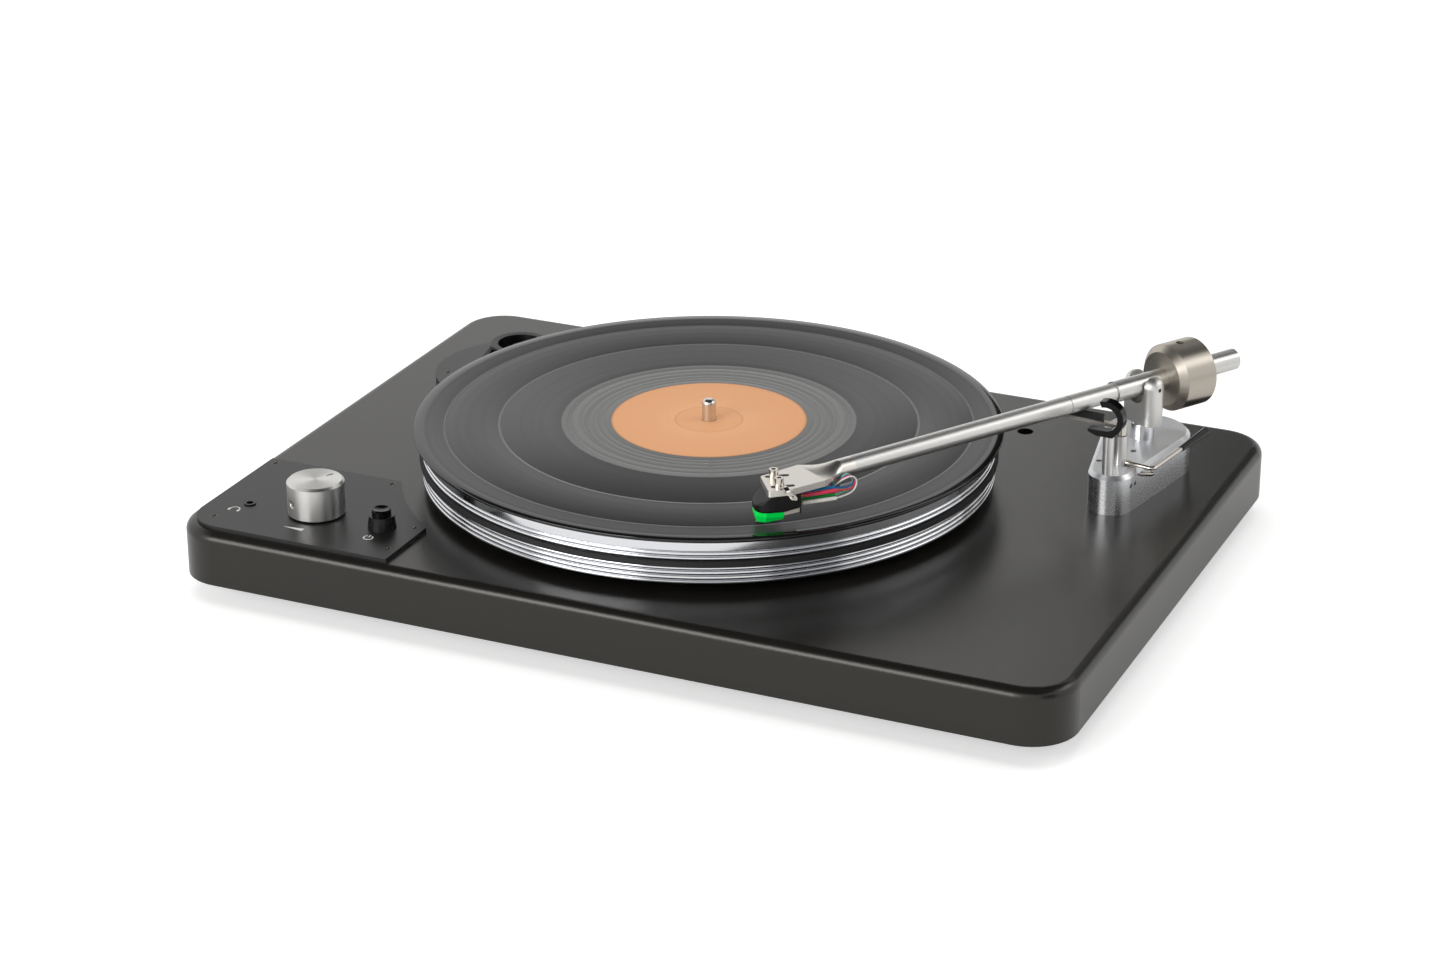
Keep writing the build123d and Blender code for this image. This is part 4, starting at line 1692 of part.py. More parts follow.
with BuildPart() as arm_rest_clip:
    with BuildSketch(CLIP.offset(-CLIP_THICKNESS / 2)):
        with BuildLine():
            hook = CenterArc((0, 0), CLIP_INNER_RADIUS, -90, CLIP_UPPER_ANGLE + 90)
            clip_turn = -CLIP_UPPER_ANGLE - CLIP_FOOT_ANGLE
            back = CenterArc((0, 0), CLIP_OUTER_RADIUS, CLIP_UPPER_ANGLE, clip_turn)
            Line(hook @ 1, back @ 0)
            Polyline(
                back @ 1,
                (REST_POST_RADIUS - CLIP_OFFSET, -CLIP_OUTER_RADIUS),
                (-CLIP_JAW_REACH / 2, -CLIP_OUTER_RADIUS),
                (-CLIP_JAW_REACH, -CLIP_INNER_RADIUS - CLIP_JAW_TIP),
                (-CLIP_JAW_REACH, -CLIP_INNER_RADIUS),
                hook @ 0,
            )
        make_face()
    extrude(amount=CLIP_THICKNESS)
arm_rest_clip.part.label = "arm_rest_clip"
export_step(arm_rest_clip.part, "parts/arm_rest_clip.step")

# Lift post: a tube that guides the lift's plunger, crossed by the lever's axle
LEVER = Plane((LIFT_X, LIFT_Y, TOP + LEVER_HEIGHT), x_dir=WALL_BACK, z_dir=WALL_OUT)
plunger_bottom = TOP + LEVER_HEIGHT + LEVER_RADIUS + FREE_GAP
with BuildPart() as lift_post:
    with BuildSketch(Plane.XY.offset(BASE_TOP - LIFT_POST_SOCKET)):
        with Locations((LIFT_X, LIFT_Y)):
            Circle(LIFT_POST_RADIUS)
    extrude(amount=TOP + LIFT_POST_TOP - BASE_TOP + LIFT_POST_SOCKET)
    with Locations((LIFT_X, LIFT_Y, TOP + LIFT_POST_TOP)):
        Hole(PLUNGER_RADIUS + RUN_GAP, depth=LIFT_POST_TOP - LEVER_HEIGHT + LEVER_RADIUS + FREE_GAP)
    with BuildSketch(LEVER.offset(-LEVER_INNER_END - FREE_GAP)):
        Circle(LEVER_RADIUS + RUN_GAP)
    extrude(amount=LEVER_INNER_END + FREE_GAP + 2 * LIFT_POST_RADIUS, mode=Mode.SUBTRACT)
lift_post.part.label = "lift_post"
export_step(lift_post.part, "parts/lift_post.step")

# Lift bar: a plunger and hub with a gently curved strip that reaches under the arm
bar_end = (LIFT_X - LIFT_BAR_REACH, LIFT_Y + LIFT_BAR_BACK)
bar_middle = (LIFT_X - LIFT_BAR_REACH / 2, LIFT_Y + LIFT_BAR_BACK / 2 + LIFT_BAR_BOW)
with BuildPart() as lift_bar:
    with BuildSketch(Plane.XY.offset(plunger_bottom)):
        with Locations((LIFT_X, LIFT_Y)):
            Circle(PLUNGER_RADIUS)
    extrude(amount=TOP + LIFT_HUB_BOTTOM - plunger_bottom)
    with BuildSketch(Plane.XY.offset(TOP + LIFT_HUB_BOTTOM)):
        with Locations((LIFT_X, LIFT_Y)):
            Circle(LIFT_HUB_RADIUS)
    extrude(amount=LIFT_HUB_HEIGHT)
    with BuildSketch(Plane.XY.offset(TOP + LIFT_BAR_BOTTOM)):
        with BuildLine():
            ThreePointArc((LIFT_X, LIFT_Y), bar_middle, bar_end)
        trace(line_width=LIFT_BAR_WIDTH)
    extrude(amount=LIFT_BAR_THICKNESS)
lift_bar.part.label = "lift_bar"
export_step(lift_bar.part, "parts/lift_bar.step")

# Lift pad: a rubber strip on the bar that the arm tube is raised by
with BuildPart() as lift_pad:
    with BuildSketch(Plane.XY.offset(TOP + LIFT_BAR_BOTTOM + LIFT_BAR_THICKNESS)):
        with BuildLine():
            ThreePointArc((LIFT_X, LIFT_Y), bar_middle, bar_end)
        trace(line_width=LIFT_PAD_WIDTH)
        with Locations((LIFT_X - LIFT_PAD_START, LIFT_Y)):
            Rectangle(LIFT_BAR_REACH, LIFT_BAR_REACH, align=(Align.MIN, Align.CENTER), mode=Mode.SUBTRACT)
    extrude(amount=LIFT_PAD_HEIGHT)
lift_pad.part.label = "lift_pad"
export_step(lift_pad.part, "parts/lift_pad.step")

# Cue lever: one bent rod, whose inner end is the axle in the lift post
lever_way = WALL_BACK * cos(radians(LEVER_ELEVATION)) + Vector(0, 0, sin(radians(LEVER_ELEVATION)))
lever_corner = LEVER.origin + WALL_OUT * LEVER_OUT
lever_end = lever_corner + lever_way * (LEVER_LENGTH + HANDLE_OVERLAP)
with BuildPart() as cue_lever:
    with BuildLine() as lever_path:
        FilletPolyline(
            LEVER.origin - WALL_OUT * LEVER_INNER_END,
            lever_corner,
            lever_end,
            radius=LEVER_BEND,
        )
    with BuildSketch(LEVER.offset(-LEVER_INNER_END)):
        Circle(LEVER_RADIUS)
    sweep(path=lever_path.line)
    with BuildSketch(LEVER.offset(LEVER_COLLAR_START)):
        Circle(LEVER_COLLAR_RADIUS)
    extrude(amount=LEVER_COLLAR_LENGTH)
cue_lever.part.label = "cue_lever"
export_step(cue_lever.part, "parts/cue_lever.step")

# Lever handle: a tapered plastic grip pushed over the rod's end
with BuildPart() as cue_handle:
    handle_plane = Plane(lever_corner + lever_way * LEVER_LENGTH, x_dir=WALL_OUT, z_dir=lever_way)
    with BuildSketch(handle_plane):
        Circle(HANDLE_START_RADIUS)
    with BuildSketch(handle_plane.offset(HANDLE_LENGTH)):
        Circle(HANDLE_END_RADIUS)
    loft()
    fillet(cue_handle.edges().sort_by(Axis((0, 0, 0), lever_way))[-1], HANDLE_ROUND)
    with BuildSketch(handle_plane):
        Circle(LEVER_RADIUS + FIT_GAP)
    extrude(amount=HANDLE_OVERLAP + FREE_GAP, mode=Mode.SUBTRACT)
cue_handle.part.label = "cue_handle"
export_step(cue_handle.part, "parts/cue_handle.step")
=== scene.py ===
"""Looks of a belt-driven turntable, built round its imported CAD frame, in metres."""

import json
import math

import bpy
import numpy as np
from mathutils import Matrix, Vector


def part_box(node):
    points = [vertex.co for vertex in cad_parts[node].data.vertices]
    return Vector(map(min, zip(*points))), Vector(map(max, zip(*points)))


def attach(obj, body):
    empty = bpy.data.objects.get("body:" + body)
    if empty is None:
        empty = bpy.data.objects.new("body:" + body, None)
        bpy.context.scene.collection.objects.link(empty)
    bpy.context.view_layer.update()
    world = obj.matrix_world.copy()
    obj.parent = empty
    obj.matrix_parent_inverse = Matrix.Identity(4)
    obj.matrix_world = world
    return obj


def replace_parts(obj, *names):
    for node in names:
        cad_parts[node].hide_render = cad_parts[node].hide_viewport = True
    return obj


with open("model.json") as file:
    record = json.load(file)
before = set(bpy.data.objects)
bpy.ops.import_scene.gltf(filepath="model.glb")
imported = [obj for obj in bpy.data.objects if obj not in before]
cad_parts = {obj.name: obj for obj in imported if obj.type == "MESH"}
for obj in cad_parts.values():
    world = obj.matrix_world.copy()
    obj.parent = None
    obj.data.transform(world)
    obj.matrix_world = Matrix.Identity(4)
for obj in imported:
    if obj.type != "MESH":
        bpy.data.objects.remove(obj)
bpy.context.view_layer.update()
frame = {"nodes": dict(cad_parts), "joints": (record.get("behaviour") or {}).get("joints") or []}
nodes = frame["nodes"]

# Plinth: a slab of fibreboard with a rounded top edge, sprayed with a satin black lacquer.
# The lacquer dries with a fine grain that breaks up what it mirrors.
mm = 0.001
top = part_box("plinth")[1].z


def linear(code):
    """sRGB hex to linear: c/12.92 under 0.04045, otherwise ((c + 0.055)/1.055) to the power 2.4."""
    parts = np.array([int(code[i : i + 2], 16) for i in (1, 3, 5)]) / 255
    return (*np.where(parts <= 0.04045, parts / 12.92, ((parts + 0.055) / 1.055) ** 2.4), 1.0)


def add(tree, kind, inputs=None, **settings):
    """Adds one shader node. A socket is given a value, or is linked where an output is given."""
    made = tree.nodes.new("ShaderNode" + kind)
    for name, value in settings.items():
        setattr(made, name, value)
    for name, value in (inputs or {}).items():
        if isinstance(value, bpy.types.NodeSocket):
            tree.links.new(value, made.inputs[name])
        else:
            made.inputs[name].default_value = value
    return made


def finish_named(name, colour, **sockets):
    """Starts a finish: one principled shader with its constant sockets set. Gives its parts."""
    made = bpy.data.materials.new(name)
    made.use_nodes = True
    shader = made.node_tree.nodes["Principled BSDF"]
    shader.inputs["Base Color"].default_value = linear(colour)
    for socket, value in sockets.items():
        shader.inputs[socket.replace("_", " ")].default_value = value
    return made, made.node_tree, shader


def join_up(tree, shader, **outputs):
    """Links outputs to the shader's sockets of these names."""
    for socket, output in outputs.items():
        tree.links.new(output, shader.inputs[socket.replace("_", " ")])


def textured(tree, shader, colour, pattern, shade, rough, strength, depth):
    """Lets one pattern lift a finish, spread its gloss and shade its colour by shade to 2 - shade."""
    bump = add(tree, "Bump", {"Height": pattern, "Strength": strength, "Distance": depth})
    gloss = add(tree, "MapRange", {"Value": pattern, "To Min": rough[0], "To Max": rough[1]})
    tint = add(tree, "MapRange", {"Value": pattern, "To Min": shade, "To Max": 2 - shade})
    parts = {0: linear(colour)[:3], 1: tint.outputs["Result"]}
    base = add(tree, "VectorMath", parts, operation="MULTIPLY")
    join_up(tree, shader, Base_Color=base.outputs["Vector"])
    join_up(tree, shader, Roughness=gloss.outputs["Result"], Normal=bump.outputs["Normal"])


def grained(name, colour, size, depth, rough, shade=0.85, **sockets):
    """A finish with a fine grain of this size, from noise in all directions."""
    made, tree, shader = finish_named(name, colour, **sockets)
    place = add(tree, "TexCoord").outputs["Object"]
    grain = add(tree, "TexNoise", {"Vector": place, "Scale": 1 / size, "Detail": 3.0}).outputs["Fac"]
    textured(tree, shader, colour, grain, shade, rough, strength=0.4, depth=depth)
    return made


def wear(finish, *names):
    """Gives these CAD pieces a finish."""
    for name in names:
        mesh = nodes[name].data
        mesh.materials.clear()
        mesh.materials.append(finish)


lacquer = grained(
    "satin_black_lacquer", "#171614", size=0.6 * mm, depth=0.13 * mm, rough=(0.20, 0.30), IOR=1.5,
)
lacquer.node_tree.nodes["Principled BSDF"].inputs["Specular Tint"].default_value = linear("#FFFCF5")
wear(lacquer, "plinth")

# Underside: a moulded sheet cover let into the plinth and four tapered rubber feet on one screw each.
# Pan-head screws of zinc-plated steel hold them, and one more sits in a well in the top, by the arm.


def build(name, points, faces, finish, body, slot, sharp=35):
    """Makes one piece, smooth over its curves and crisp past an angle in degrees, and lets it ride."""
    mesh = bpy.data.meshes.new(name)
    mesh.from_pydata(points.reshape(-1, 3).tolist(), [], faces)
    mesh.materials.append(finish)
    mesh.shade_smooth()
    mesh.set_sharp_from_angle(angle=math.radians(sharp))
    made = bpy.data.objects.new(name, mesh)
    bpy.context.scene.collection.objects.link(made)
    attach(made, body)
    return made


def turn(profile, origins, axis=(0, 0, 1), segments=48, relief=None, flats=0):
    """Turns a profile of radius and height about an axis, once at each origin.

    Place = origin + axis*height + radius*(cos t*side + sin t*other). The profile's ends lie on the
    axis, where fans close it, or it is a loop off the axis. Relief lowers its topmost rings, and the
    last few rings, as many as flats, are six-sided: radius/cos(t - the middle of the side).
    """
    axis = np.array(axis, float)
    side = np.cross(axis, (1, 0, 0) if abs(axis[2]) > 0.9 else (0, 0, 1))
    side /= np.linalg.norm(side)
    other = np.cross(axis, side)
    profile = np.array(profile, float)
    angle = np.arange(segments) * 2 * np.pi / segments
    radius = np.repeat(profile[:, :1], segments, axis=1)
    height = np.repeat(profile[:, 1:2], segments, axis=1)
    if flats:
        radius[-flats:] /= np.cos(angle % (np.pi / 3) - np.pi / 6)
    u, v = radius * np.cos(angle), radius * np.sin(angle)
    if relief:
        height -= relief(u, v) * (height > profile[:, 1].max() - 1e-7)
    rings = u[..., None] * side + v[..., None] * other + height[..., None] * axis
    solid = profile[0, 0] == 0
    first, last = (rings[:1, 0], rings[-1:, 0]) if solid else (rings[:0, 0], rings[:0, 0])
    rings = rings[1:-1] if solid else rings
    one = np.concatenate([first, rings.reshape(-1, 3), last])
    here = len(first) + np.arange(len(rings) * segments).reshape(-1, segments)
    here = here if solid else np.concatenate([here, here[:1]])
    beside = np.roll(here, -1, axis=1)
    quads = np.stack([here[:-1], beside[:-1], beside[1:], here[1:]], -1).reshape(-1, 4)
    fans = np.zeros((0, 3), int)
    if solid:
        low = np.stack([0 * here[0], beside[0], here[0]], -1)
        high = np.stack([0 * here[0] + len(one) - 1, here[-1], beside[-1]], -1)
        fans = np.concatenate([low, high])
    origins = np.array(origins, float).reshape(-1, 3)
    shift = (np.arange(len(origins)) * len(one))[:, None, None]
    faces = (quads + shift).reshape(-1, 4).tolist() + (fans + shift).reshape(-1, 3).tolist()
    return origins[:, None] + one, faces


def cross(reach, half, depth):
    """A cross recess in a flat top, with u and v along its arms.

    It has its full depth where the smaller of |u| and |v| is under half and the larger under reach, and
    slopes up to nothing there.
    """
    side_slope, end_slope = 0.12 * mm, 0.36 * mm

    def relief(u, v):
        low, high = np.minimum(abs(u), abs(v)), np.maximum(abs(u), abs(v))
        within = np.clip((half - low) / side_slope, 0, 1) * np.clip((reach - high) / end_slope, 0, 1)
        return depth * within

    return relief


def rows(radius, height, count):
    """Rings of a flat top, from its edge to its middle."""
    return [(r, height) for r in np.linspace(radius, 0, count)]


def four(x, y, height):
    """A place in millimetres and its mirror images about the plinth's middle, all at one height."""
    return [(i * x * mm, j * y * mm, height) for i in (-1, 1) for j in (-1, 1)]


def joined(parts):
    """Puts meshes into one: the corners of each count on from the points before it."""
    points, faces, start = [], [], 0
    for some_points, some_faces in parts:
        points.append(some_points.reshape(-1, 3))
        faces += [[corner + start for corner in face] for face in some_faces]
        start += len(points[-1])
    return np.concatenate(points), faces


# The sheet has a fine leather texture, the rubber is dull, and zinc is a bright metal with a soft haze.
leather_sheet = grained(
    "moulded_black_sheet", "#1B1B1B", size=1.4 * mm, depth=0.12 * mm, rough=(0.5, 0.65), IOR=1.49,
)
rubber = grained("black_rubber", "#121212", size=0.8 * mm, depth=0.05 * mm, rough=(0.6, 0.8), IOR=1.52)
zinc = grained(
    "zinc_plated_steel", "#B4B5B8",
    size=0.6 * mm, depth=0.02 * mm, rough=(0.25, 0.4), shade=0.95, Metallic=1.0,
)
wear(leather_sheet, "bottom_cover", "rear_panel")
wear(rubber, "feet")
wear(zinc, "base_bolts", "motor", "volume_pot")
cover_floor, foot_floor = 12 * mm, 8 * mm
cover_spots = four(213, 77.75, cover_floor) + four(110.5, 147.5, cover_floor)
foot_spots = four(187, 121.5, foot_floor)
well_spot = np.array([114.0, 119.8, 31.0]) * mm
pan_shank = [(0, -12), (0.5, -11.5), (1.75, -10.25), (1.75, 0), (3.5, 0), (3.5, 0.9), (3.1, 1.75)]
pan_profile = np.array(pan_shank + rows(2.4, 2.2, 18)) * mm
pan_cross = cross(2.0 * mm, 0.42 * mm, 1.1 * mm)
underneath = turn(pan_profile, cover_spots + foot_spots, (0, 0, -1), relief=pan_cross)
in_well = turn(pan_profile, well_spot, relief=pan_cross)
points, faces = joined([underneath, in_well])
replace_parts(build("cover_screws", points, faces, zinc, "deck", "steel"), "pan_screws")

# Rear connections: two output sockets, a ground post and a power inlet, fixed to a small panel.
# Sockets and post are nickel-plated brass, and the inlet is moulded plastic.
# The moulding has soft highlights from its mould, and nickel is a warm, slightly hazed mirror.
moulded = grained(
    "moulded_black_plastic", "#0B0B0B", size=0.9 * mm, depth=0.01 * mm, rough=(0.24, 0.32), IOR=1.42,
)
nickel = grained(
    "nickel_plated_brass", "#CFC8BB",
    size=0.7 * mm, depth=0.01 * mm, rough=(0.16, 0.26), shade=0.96, Metallic=1.0,
)
wear(nickel, "output_sockets", "ground_post")
wear(moulded, "power_inlet")

# Control panel: a 2 mm steel plate in satin black enamel, held by five blackened flat-head screws.
# The button is gloss plastic in a moulded switch, and the circuit board hangs behind them.
# Enamel is smoother than the lacquer round it, and the screws keep a brown-black oxide.
enamel = grained(
    "satin_black_enamel", "#131312", size=0.5 * mm, depth=0.05 * mm, rough=(0.32, 0.40), IOR=1.5,
)
oxide = grained(
    "blackened_steel", "#524E49",
    size=0.5 * mm, depth=0.03 * mm, rough=(0.28, 0.42), shade=0.8, Metallic=1.0,
)
solder_mask = grained(
    "green_solder_mask", "#1E5A32", size=2.0 * mm, depth=0.01 * mm, rough=(0.3, 0.4), IOR=1.5,
)
gloss_black = grained(
    "gloss_black_plastic", "#060606", size=2.5 * mm, depth=0.004 * mm, rough=(0.10, 0.16), IOR=1.33,
)
spindle = np.array([-16.0, 1.0, 0.0]) * mm
motor = np.array([-167.22, 83.79, 0.0]) * mm
panel_top, plate_top, housing_top = top + 2 * mm, top + 2.8 * mm, top + 3 * mm
corner_spots = np.array([(-224.7, -81.8), (-218.0, -152.5), (-118.8, -152.5)]) * mm
arc_radius, back_row, right_row = 162.8 * mm, -81.8 * mm, -118.8 * mm
arc_x = spindle[0] - math.sqrt(arc_radius**2 - (back_row - spindle[1]) ** 2)
arc_y = spindle[1] - math.sqrt(arc_radius**2 - (right_row - spindle[0]) ** 2)
plate_circle, plate_turn, motor_screw = 40 * mm, 26.8, np.array([0, 22.0, 0]) * mm
housing_circle, housing_turn = 18.5 * mm, 90
quarter = np.radians(plate_turn + 90 * np.arange(4))
third = np.radians(housing_turn + 120 * np.arange(3))
plate_spots = motor + plate_circle * np.stack([np.cos(quarter), np.sin(quarter), 0 * quarter], -1)
plate_spots = (*plate_spots, motor + motor_screw, motor - motor_screw)
housing_spots = spindle + housing_circle * np.stack([np.cos(third), np.sin(third), 0 * third], -1)
flat_spots = [(x, y, panel_top) for x, y in (*corner_spots, (arc_x, back_row), (right_row, arc_y))]
flat_spots += [(x, y, plate_top) for x, y, _ in plate_spots]
flat_spots += [(x, y, housing_top) for x, y, _ in housing_spots]
flat_profile = np.array([(0, -10), (0.4, -9.6), (1.3, -8.7), (1.3, -1.35)] + rows(2.65, 0, 20)) * mm
flat_cross = cross(1.75 * mm, 0.36 * mm, 0.9 * mm)
points, faces = turn(flat_profile, flat_spots, relief=flat_cross)
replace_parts(build("flat_screws", points, faces, oxide, "deck", "screw_black"), "countersunk_screws")
wear(enamel, "control_panel", "motor_plate")
wear(solder_mask, "circuit_board")
wear(moulded, "power_switch", "phones_jack")
wear(gloss_black, "power_button")

# Panel print: small white signs by the jack, the knob and the button, screen printed in ink.
# They are plain signs for headphones, loudness and power, a few hundredths of a millimetre thick, and
# the ink dries matt.
ink = grained(
    "white_screen_ink", "#D9D8D2", size=0.4 * mm, depth=0.005 * mm, rough=(0.5, 0.6), shade=0.95,
)


def strip(path, width, normal, thick):
    """A flat bar carried along a path: its corners stand half a width aside and half a thickness off it.

    Aside is the normal crossed with the run of the path.
    """
    path = np.array(path, float)
    run = np.gradient(path, axis=0)
    aside = np.cross(normal, run)
    aside *= np.reshape(width, (-1, 1)) / 2 / np.linalg.norm(aside, axis=1, keepdims=True)
    off = np.cross(run, aside)
    off *= thick / 2 / np.linalg.norm(off, axis=1, keepdims=True)
    points = np.stack([path - aside + off, path + aside + off, path + aside - off, path - aside - off], 1)
    here = np.arange(len(path) * 4).reshape(-1, 4)
    beside = np.roll(here, -1, axis=1)
    quads = np.stack([here[:-1], here[1:], beside[1:], beside[:-1]], -1).reshape(-1, 4)
    return points, quads.tolist() + [here[0].tolist(), here[-1][::-1].tolist()]


def arc(centre, radius, start, stop):
    """Points on a circle between two angles in degrees."""
    angle = np.radians(np.linspace(start, stop, 33))
    return np.array(centre) + radius * np.stack([np.cos(angle), np.sin(angle), 0 * angle], -1)


ink_level, ink_thick, stroke = 42.01, 0.04 * mm, 0.6 * mm
band_radius, ear_width, wedge_long, wedge_steps, ring_radius = 2.6 * mm, 1.3 * mm, 11 * mm, 9, 2.3 * mm
jack_sign = np.array([-213.0, -141.5, ink_level]) * mm
knob_sign = np.array([-179.5, -150.0, ink_level]) * mm
button_sign = np.array([-134.4, -145.0, ink_level]) * mm
ears = np.array([band_radius, 0, 0])
ear_drop = np.array([(0, 0.3, 0), (0, -1.9, 0)]) * mm
wedge = np.linspace((0, 0, 0), (wedge_long, 0, 0), wedge_steps)
signs = {
    "sign_phones_band": (arc(jack_sign, band_radius, 180, 0), stroke),
    "sign_phones_left": (jack_sign - ears + ear_drop, ear_width),
    "sign_phones_right": (jack_sign + ears + ear_drop, ear_width),
    "sign_loudness": (knob_sign + wedge, np.linspace(0.1, 2.8, wedge_steps) * mm),
    "sign_power_ring": (arc(button_sign, ring_radius, 125, 415), stroke),
    "sign_power_bar": (button_sign + np.array([(0, 0.6, 0), (0, 3.0, 0)]) * mm, stroke),
}
for name, (path, width) in signs.items():
    build(name, *strip(path, width, (0, 0, 1), ink_thick), ink, "deck", "lead_white")

# Volume knob: turned from aluminium bar, with a faced top, a bevel and one set screw low on its side.
# The tool leaves fine rings, which draw the light out across them. A hidden steel shaft carries it.
knob = np.array([-173.0, -128.4, 0.0]) * mm
upright = (0.0, 0.0, 1.0)


def turned(name, colour, centre, axis, pitch, depth, rough, anisotropy, **sockets):
    """A lathe finish with rings of this pitch, by radius on a face and by height on a side.

    The tangent is the axis crossed with the place from the centre, and the gloss spreads across it.
    """
    made, tree, shader = finish_named(name, colour, Metallic=1.0, **sockets)
    shader.inputs["Anisotropic"].default_value = anisotropy
    shader.inputs["Anisotropic Rotation"].default_value = 0.25
    place = add(tree, "TexCoord").outputs
    away = add(tree, "VectorMath", {0: place["Object"], 1: tuple(centre)}, operation="SUBTRACT")
    away, axis = away.outputs["Vector"], tuple(axis)
    tangent = add(tree, "VectorMath", {0: axis, 1: away}, operation="CROSS_PRODUCT").outputs["Vector"]
    radius = add(tree, "VectorMath", {0: tangent}, operation="LENGTH").outputs["Value"]
    height = add(tree, "VectorMath", {0: axis, 1: away}, operation="DOT_PRODUCT").outputs["Value"]
    facing = add(tree, "VectorMath", {0: axis, 1: place["Normal"]}, operation="DOT_PRODUCT")
    slant = add(tree, "Math", {0: facing.outputs["Value"]}, operation="ABSOLUTE").outputs["Value"]
    face = add(tree, "Math", {0: slant, 1: 0.6}, operation="GREATER_THAN").outputs["Value"]
    cut = add(tree, "Mix", {0: face, 2: height, 3: radius}).outputs[0]
    ring = add(tree, "TexNoise", {"W": cut, "Scale": 1 / pitch}, noise_dimensions="1D").outputs["Fac"]
    textured(tree, shader, colour, ring, shade=0.97, rough=rough, strength=0.3, depth=depth)
    join_up(tree, shader, Tangent=tangent)
    return made


knob_metal = turned(
    "turned_aluminium_knob", "#D6D5D2", knob, upright,
    pitch=0.7 * mm, depth=0.0005 * mm, rough=(0.31, 0.34), anisotropy=0.75,
)
wear(zinc, "pot_shaft")
knob_foot = knob + (0, 0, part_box("volume_knob")[0].z)
hole_turn, tick_turn, hole_level, knob_radius = math.radians(243), math.radians(61), 7.6 * mm, 14.5 * mm
bevel_reach, bevel_deep, bore_reach, bore_deep = 2.0 * mm, 0.4 * mm, 1.5 * mm, 5.8 * mm
tick_start, tick_stop, tick_half, tick_deep = 6.0 * mm, 10.4 * mm, 0.4 * mm, 0.3 * mm
knob_under = [(0, 12.9), (3.05, 12.9), (3.05, 5.4), (7.5, 5.4), (7.5, 0), (14.1, 0)]
knob_side = [(knob_radius / mm, height) for height in np.linspace(0.4, 16.5, 57)]
knob_profile = np.array(knob_under + knob_side + rows(13.3, 17.7, 30)) * mm


def pressed(points):
    """Sinks a hole and a tick into the turned knob, by distance from the middle of each.

    The hole lies on the side, where its distance is that along the surface: it sinks 0.4 mm in a bevel
    and 5.8 mm more inside that. The tick is a line on the top, from 6 to 10.4 mm out, 0.3 mm deep.
    """
    away = points - knob_foot
    reach = np.hypot(away[..., 0], away[..., 1])
    swing = (np.arctan2(away[..., 1], away[..., 0]) - hole_turn + np.pi) % (2 * np.pi) - np.pi
    off = np.hypot(swing * knob_radius, away[..., 2] - hole_level)
    bevel = bevel_deep * np.clip((bevel_reach - off) / (0.4 * mm), 0, 1)
    bore = bore_deep * np.clip((bore_reach - off) / (0.2 * mm), 0, 1)
    sink = (bevel + bore) * (reach > knob_radius - 0.1 * mm)
    out = away[..., 0] * math.cos(tick_turn) + away[..., 1] * math.sin(tick_turn)
    aside = away[..., 1] * math.cos(tick_turn) - away[..., 0] * math.sin(tick_turn)
    on_tick = (out > tick_start) * (out < tick_stop) * (away[..., 2] > 17.6 * mm)
    tick = tick_deep * np.clip((tick_half - abs(aside)) / (0.15 * mm), 0, 1) * on_tick
    away[..., :2] *= (1 - sink / np.maximum(reach, mm))[..., None]
    away[..., 2] -= tick
    return knob_foot + away


points, faces = turn(knob_profile, knob_foot, segments=256)
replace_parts(build("turned_knob", pressed(points), faces, knob_metal, "knob", "aluminium"), "volume_knob")
knob_out = np.array([math.cos(hole_turn), math.sin(hole_turn), 0])
screw_drop = 1.6 * mm
screw_seat = knob_foot + knob_out * (knob_radius - screw_drop) + (0, 0, hole_level)
# A socket grub screw 2.3 mm across, scaled for each place it is used in.
grub = [(0, -3), (1.0, -2.9), (1.15, -2.7), (1.15, -0.15), (1.0, 0), (0.62, 0), (0.6, -1.2), (0, -1.3)]
grub = np.array(grub) * mm
points, faces = turn(grub * 1.2, screw_seat, knob_out, segments=36, flats=3)
build("knob_set_screw", points, faces, oxide, "knob", "screw_black")

# Drive: a cup-shaped pulley on the motor's shaft, and a belt that runs from it round the platter.
# The pulley is turned and anodised black, with a faint sheen, and the belt is dull ground rubber.
anodised = turned(
    "black_anodised_aluminium", "#3A3A3B", motor, upright,
    pitch=0.5 * mm, depth=0.004 * mm, rough=(0.36, 0.44), anisotropy=0.4,
)
belt_rubber = grained(
    "ground_belt_rubber", "#161616", size=0.6 * mm, depth=0.03 * mm, rough=(0.5, 0.65), IOR=1.52,
)
wear(anodised, "motor_pulley")
wear(belt_rubber, "drive_belt")
wear(zinc, "motor_shaft")

# Bearing: a flanged aluminium housing with a sintered bronze bush, a thrust ball and the spindle.
# The spindle's pin over the record is ground steel, a mirror softened by fine rings.
bronze = turned(
    "sintered_bronze", "#B08A52", spindle, upright,
    pitch=0.5 * mm, depth=0.02 * mm, rough=(0.35, 0.5), anisotropy=0.3,
)
housing_metal = turned(
    "turned_aluminium_housing", "#BDBDBE", spindle, upright,
    pitch=0.6 * mm, depth=0.02 * mm, rough=(0.3, 0.4), anisotropy=0.6,
)
ground_steel = turned(
    "ground_steel_spindle", "#DAD6D0", spindle, upright,
    pitch=0.5 * mm, depth=0.002 * mm, rough=(0.24, 0.30), anisotropy=0.5,
)
wear(bronze, "bearing_bush")
wear(housing_metal, "bearing_housing")
wear(ground_steel, "spindle", "thrust_ball")

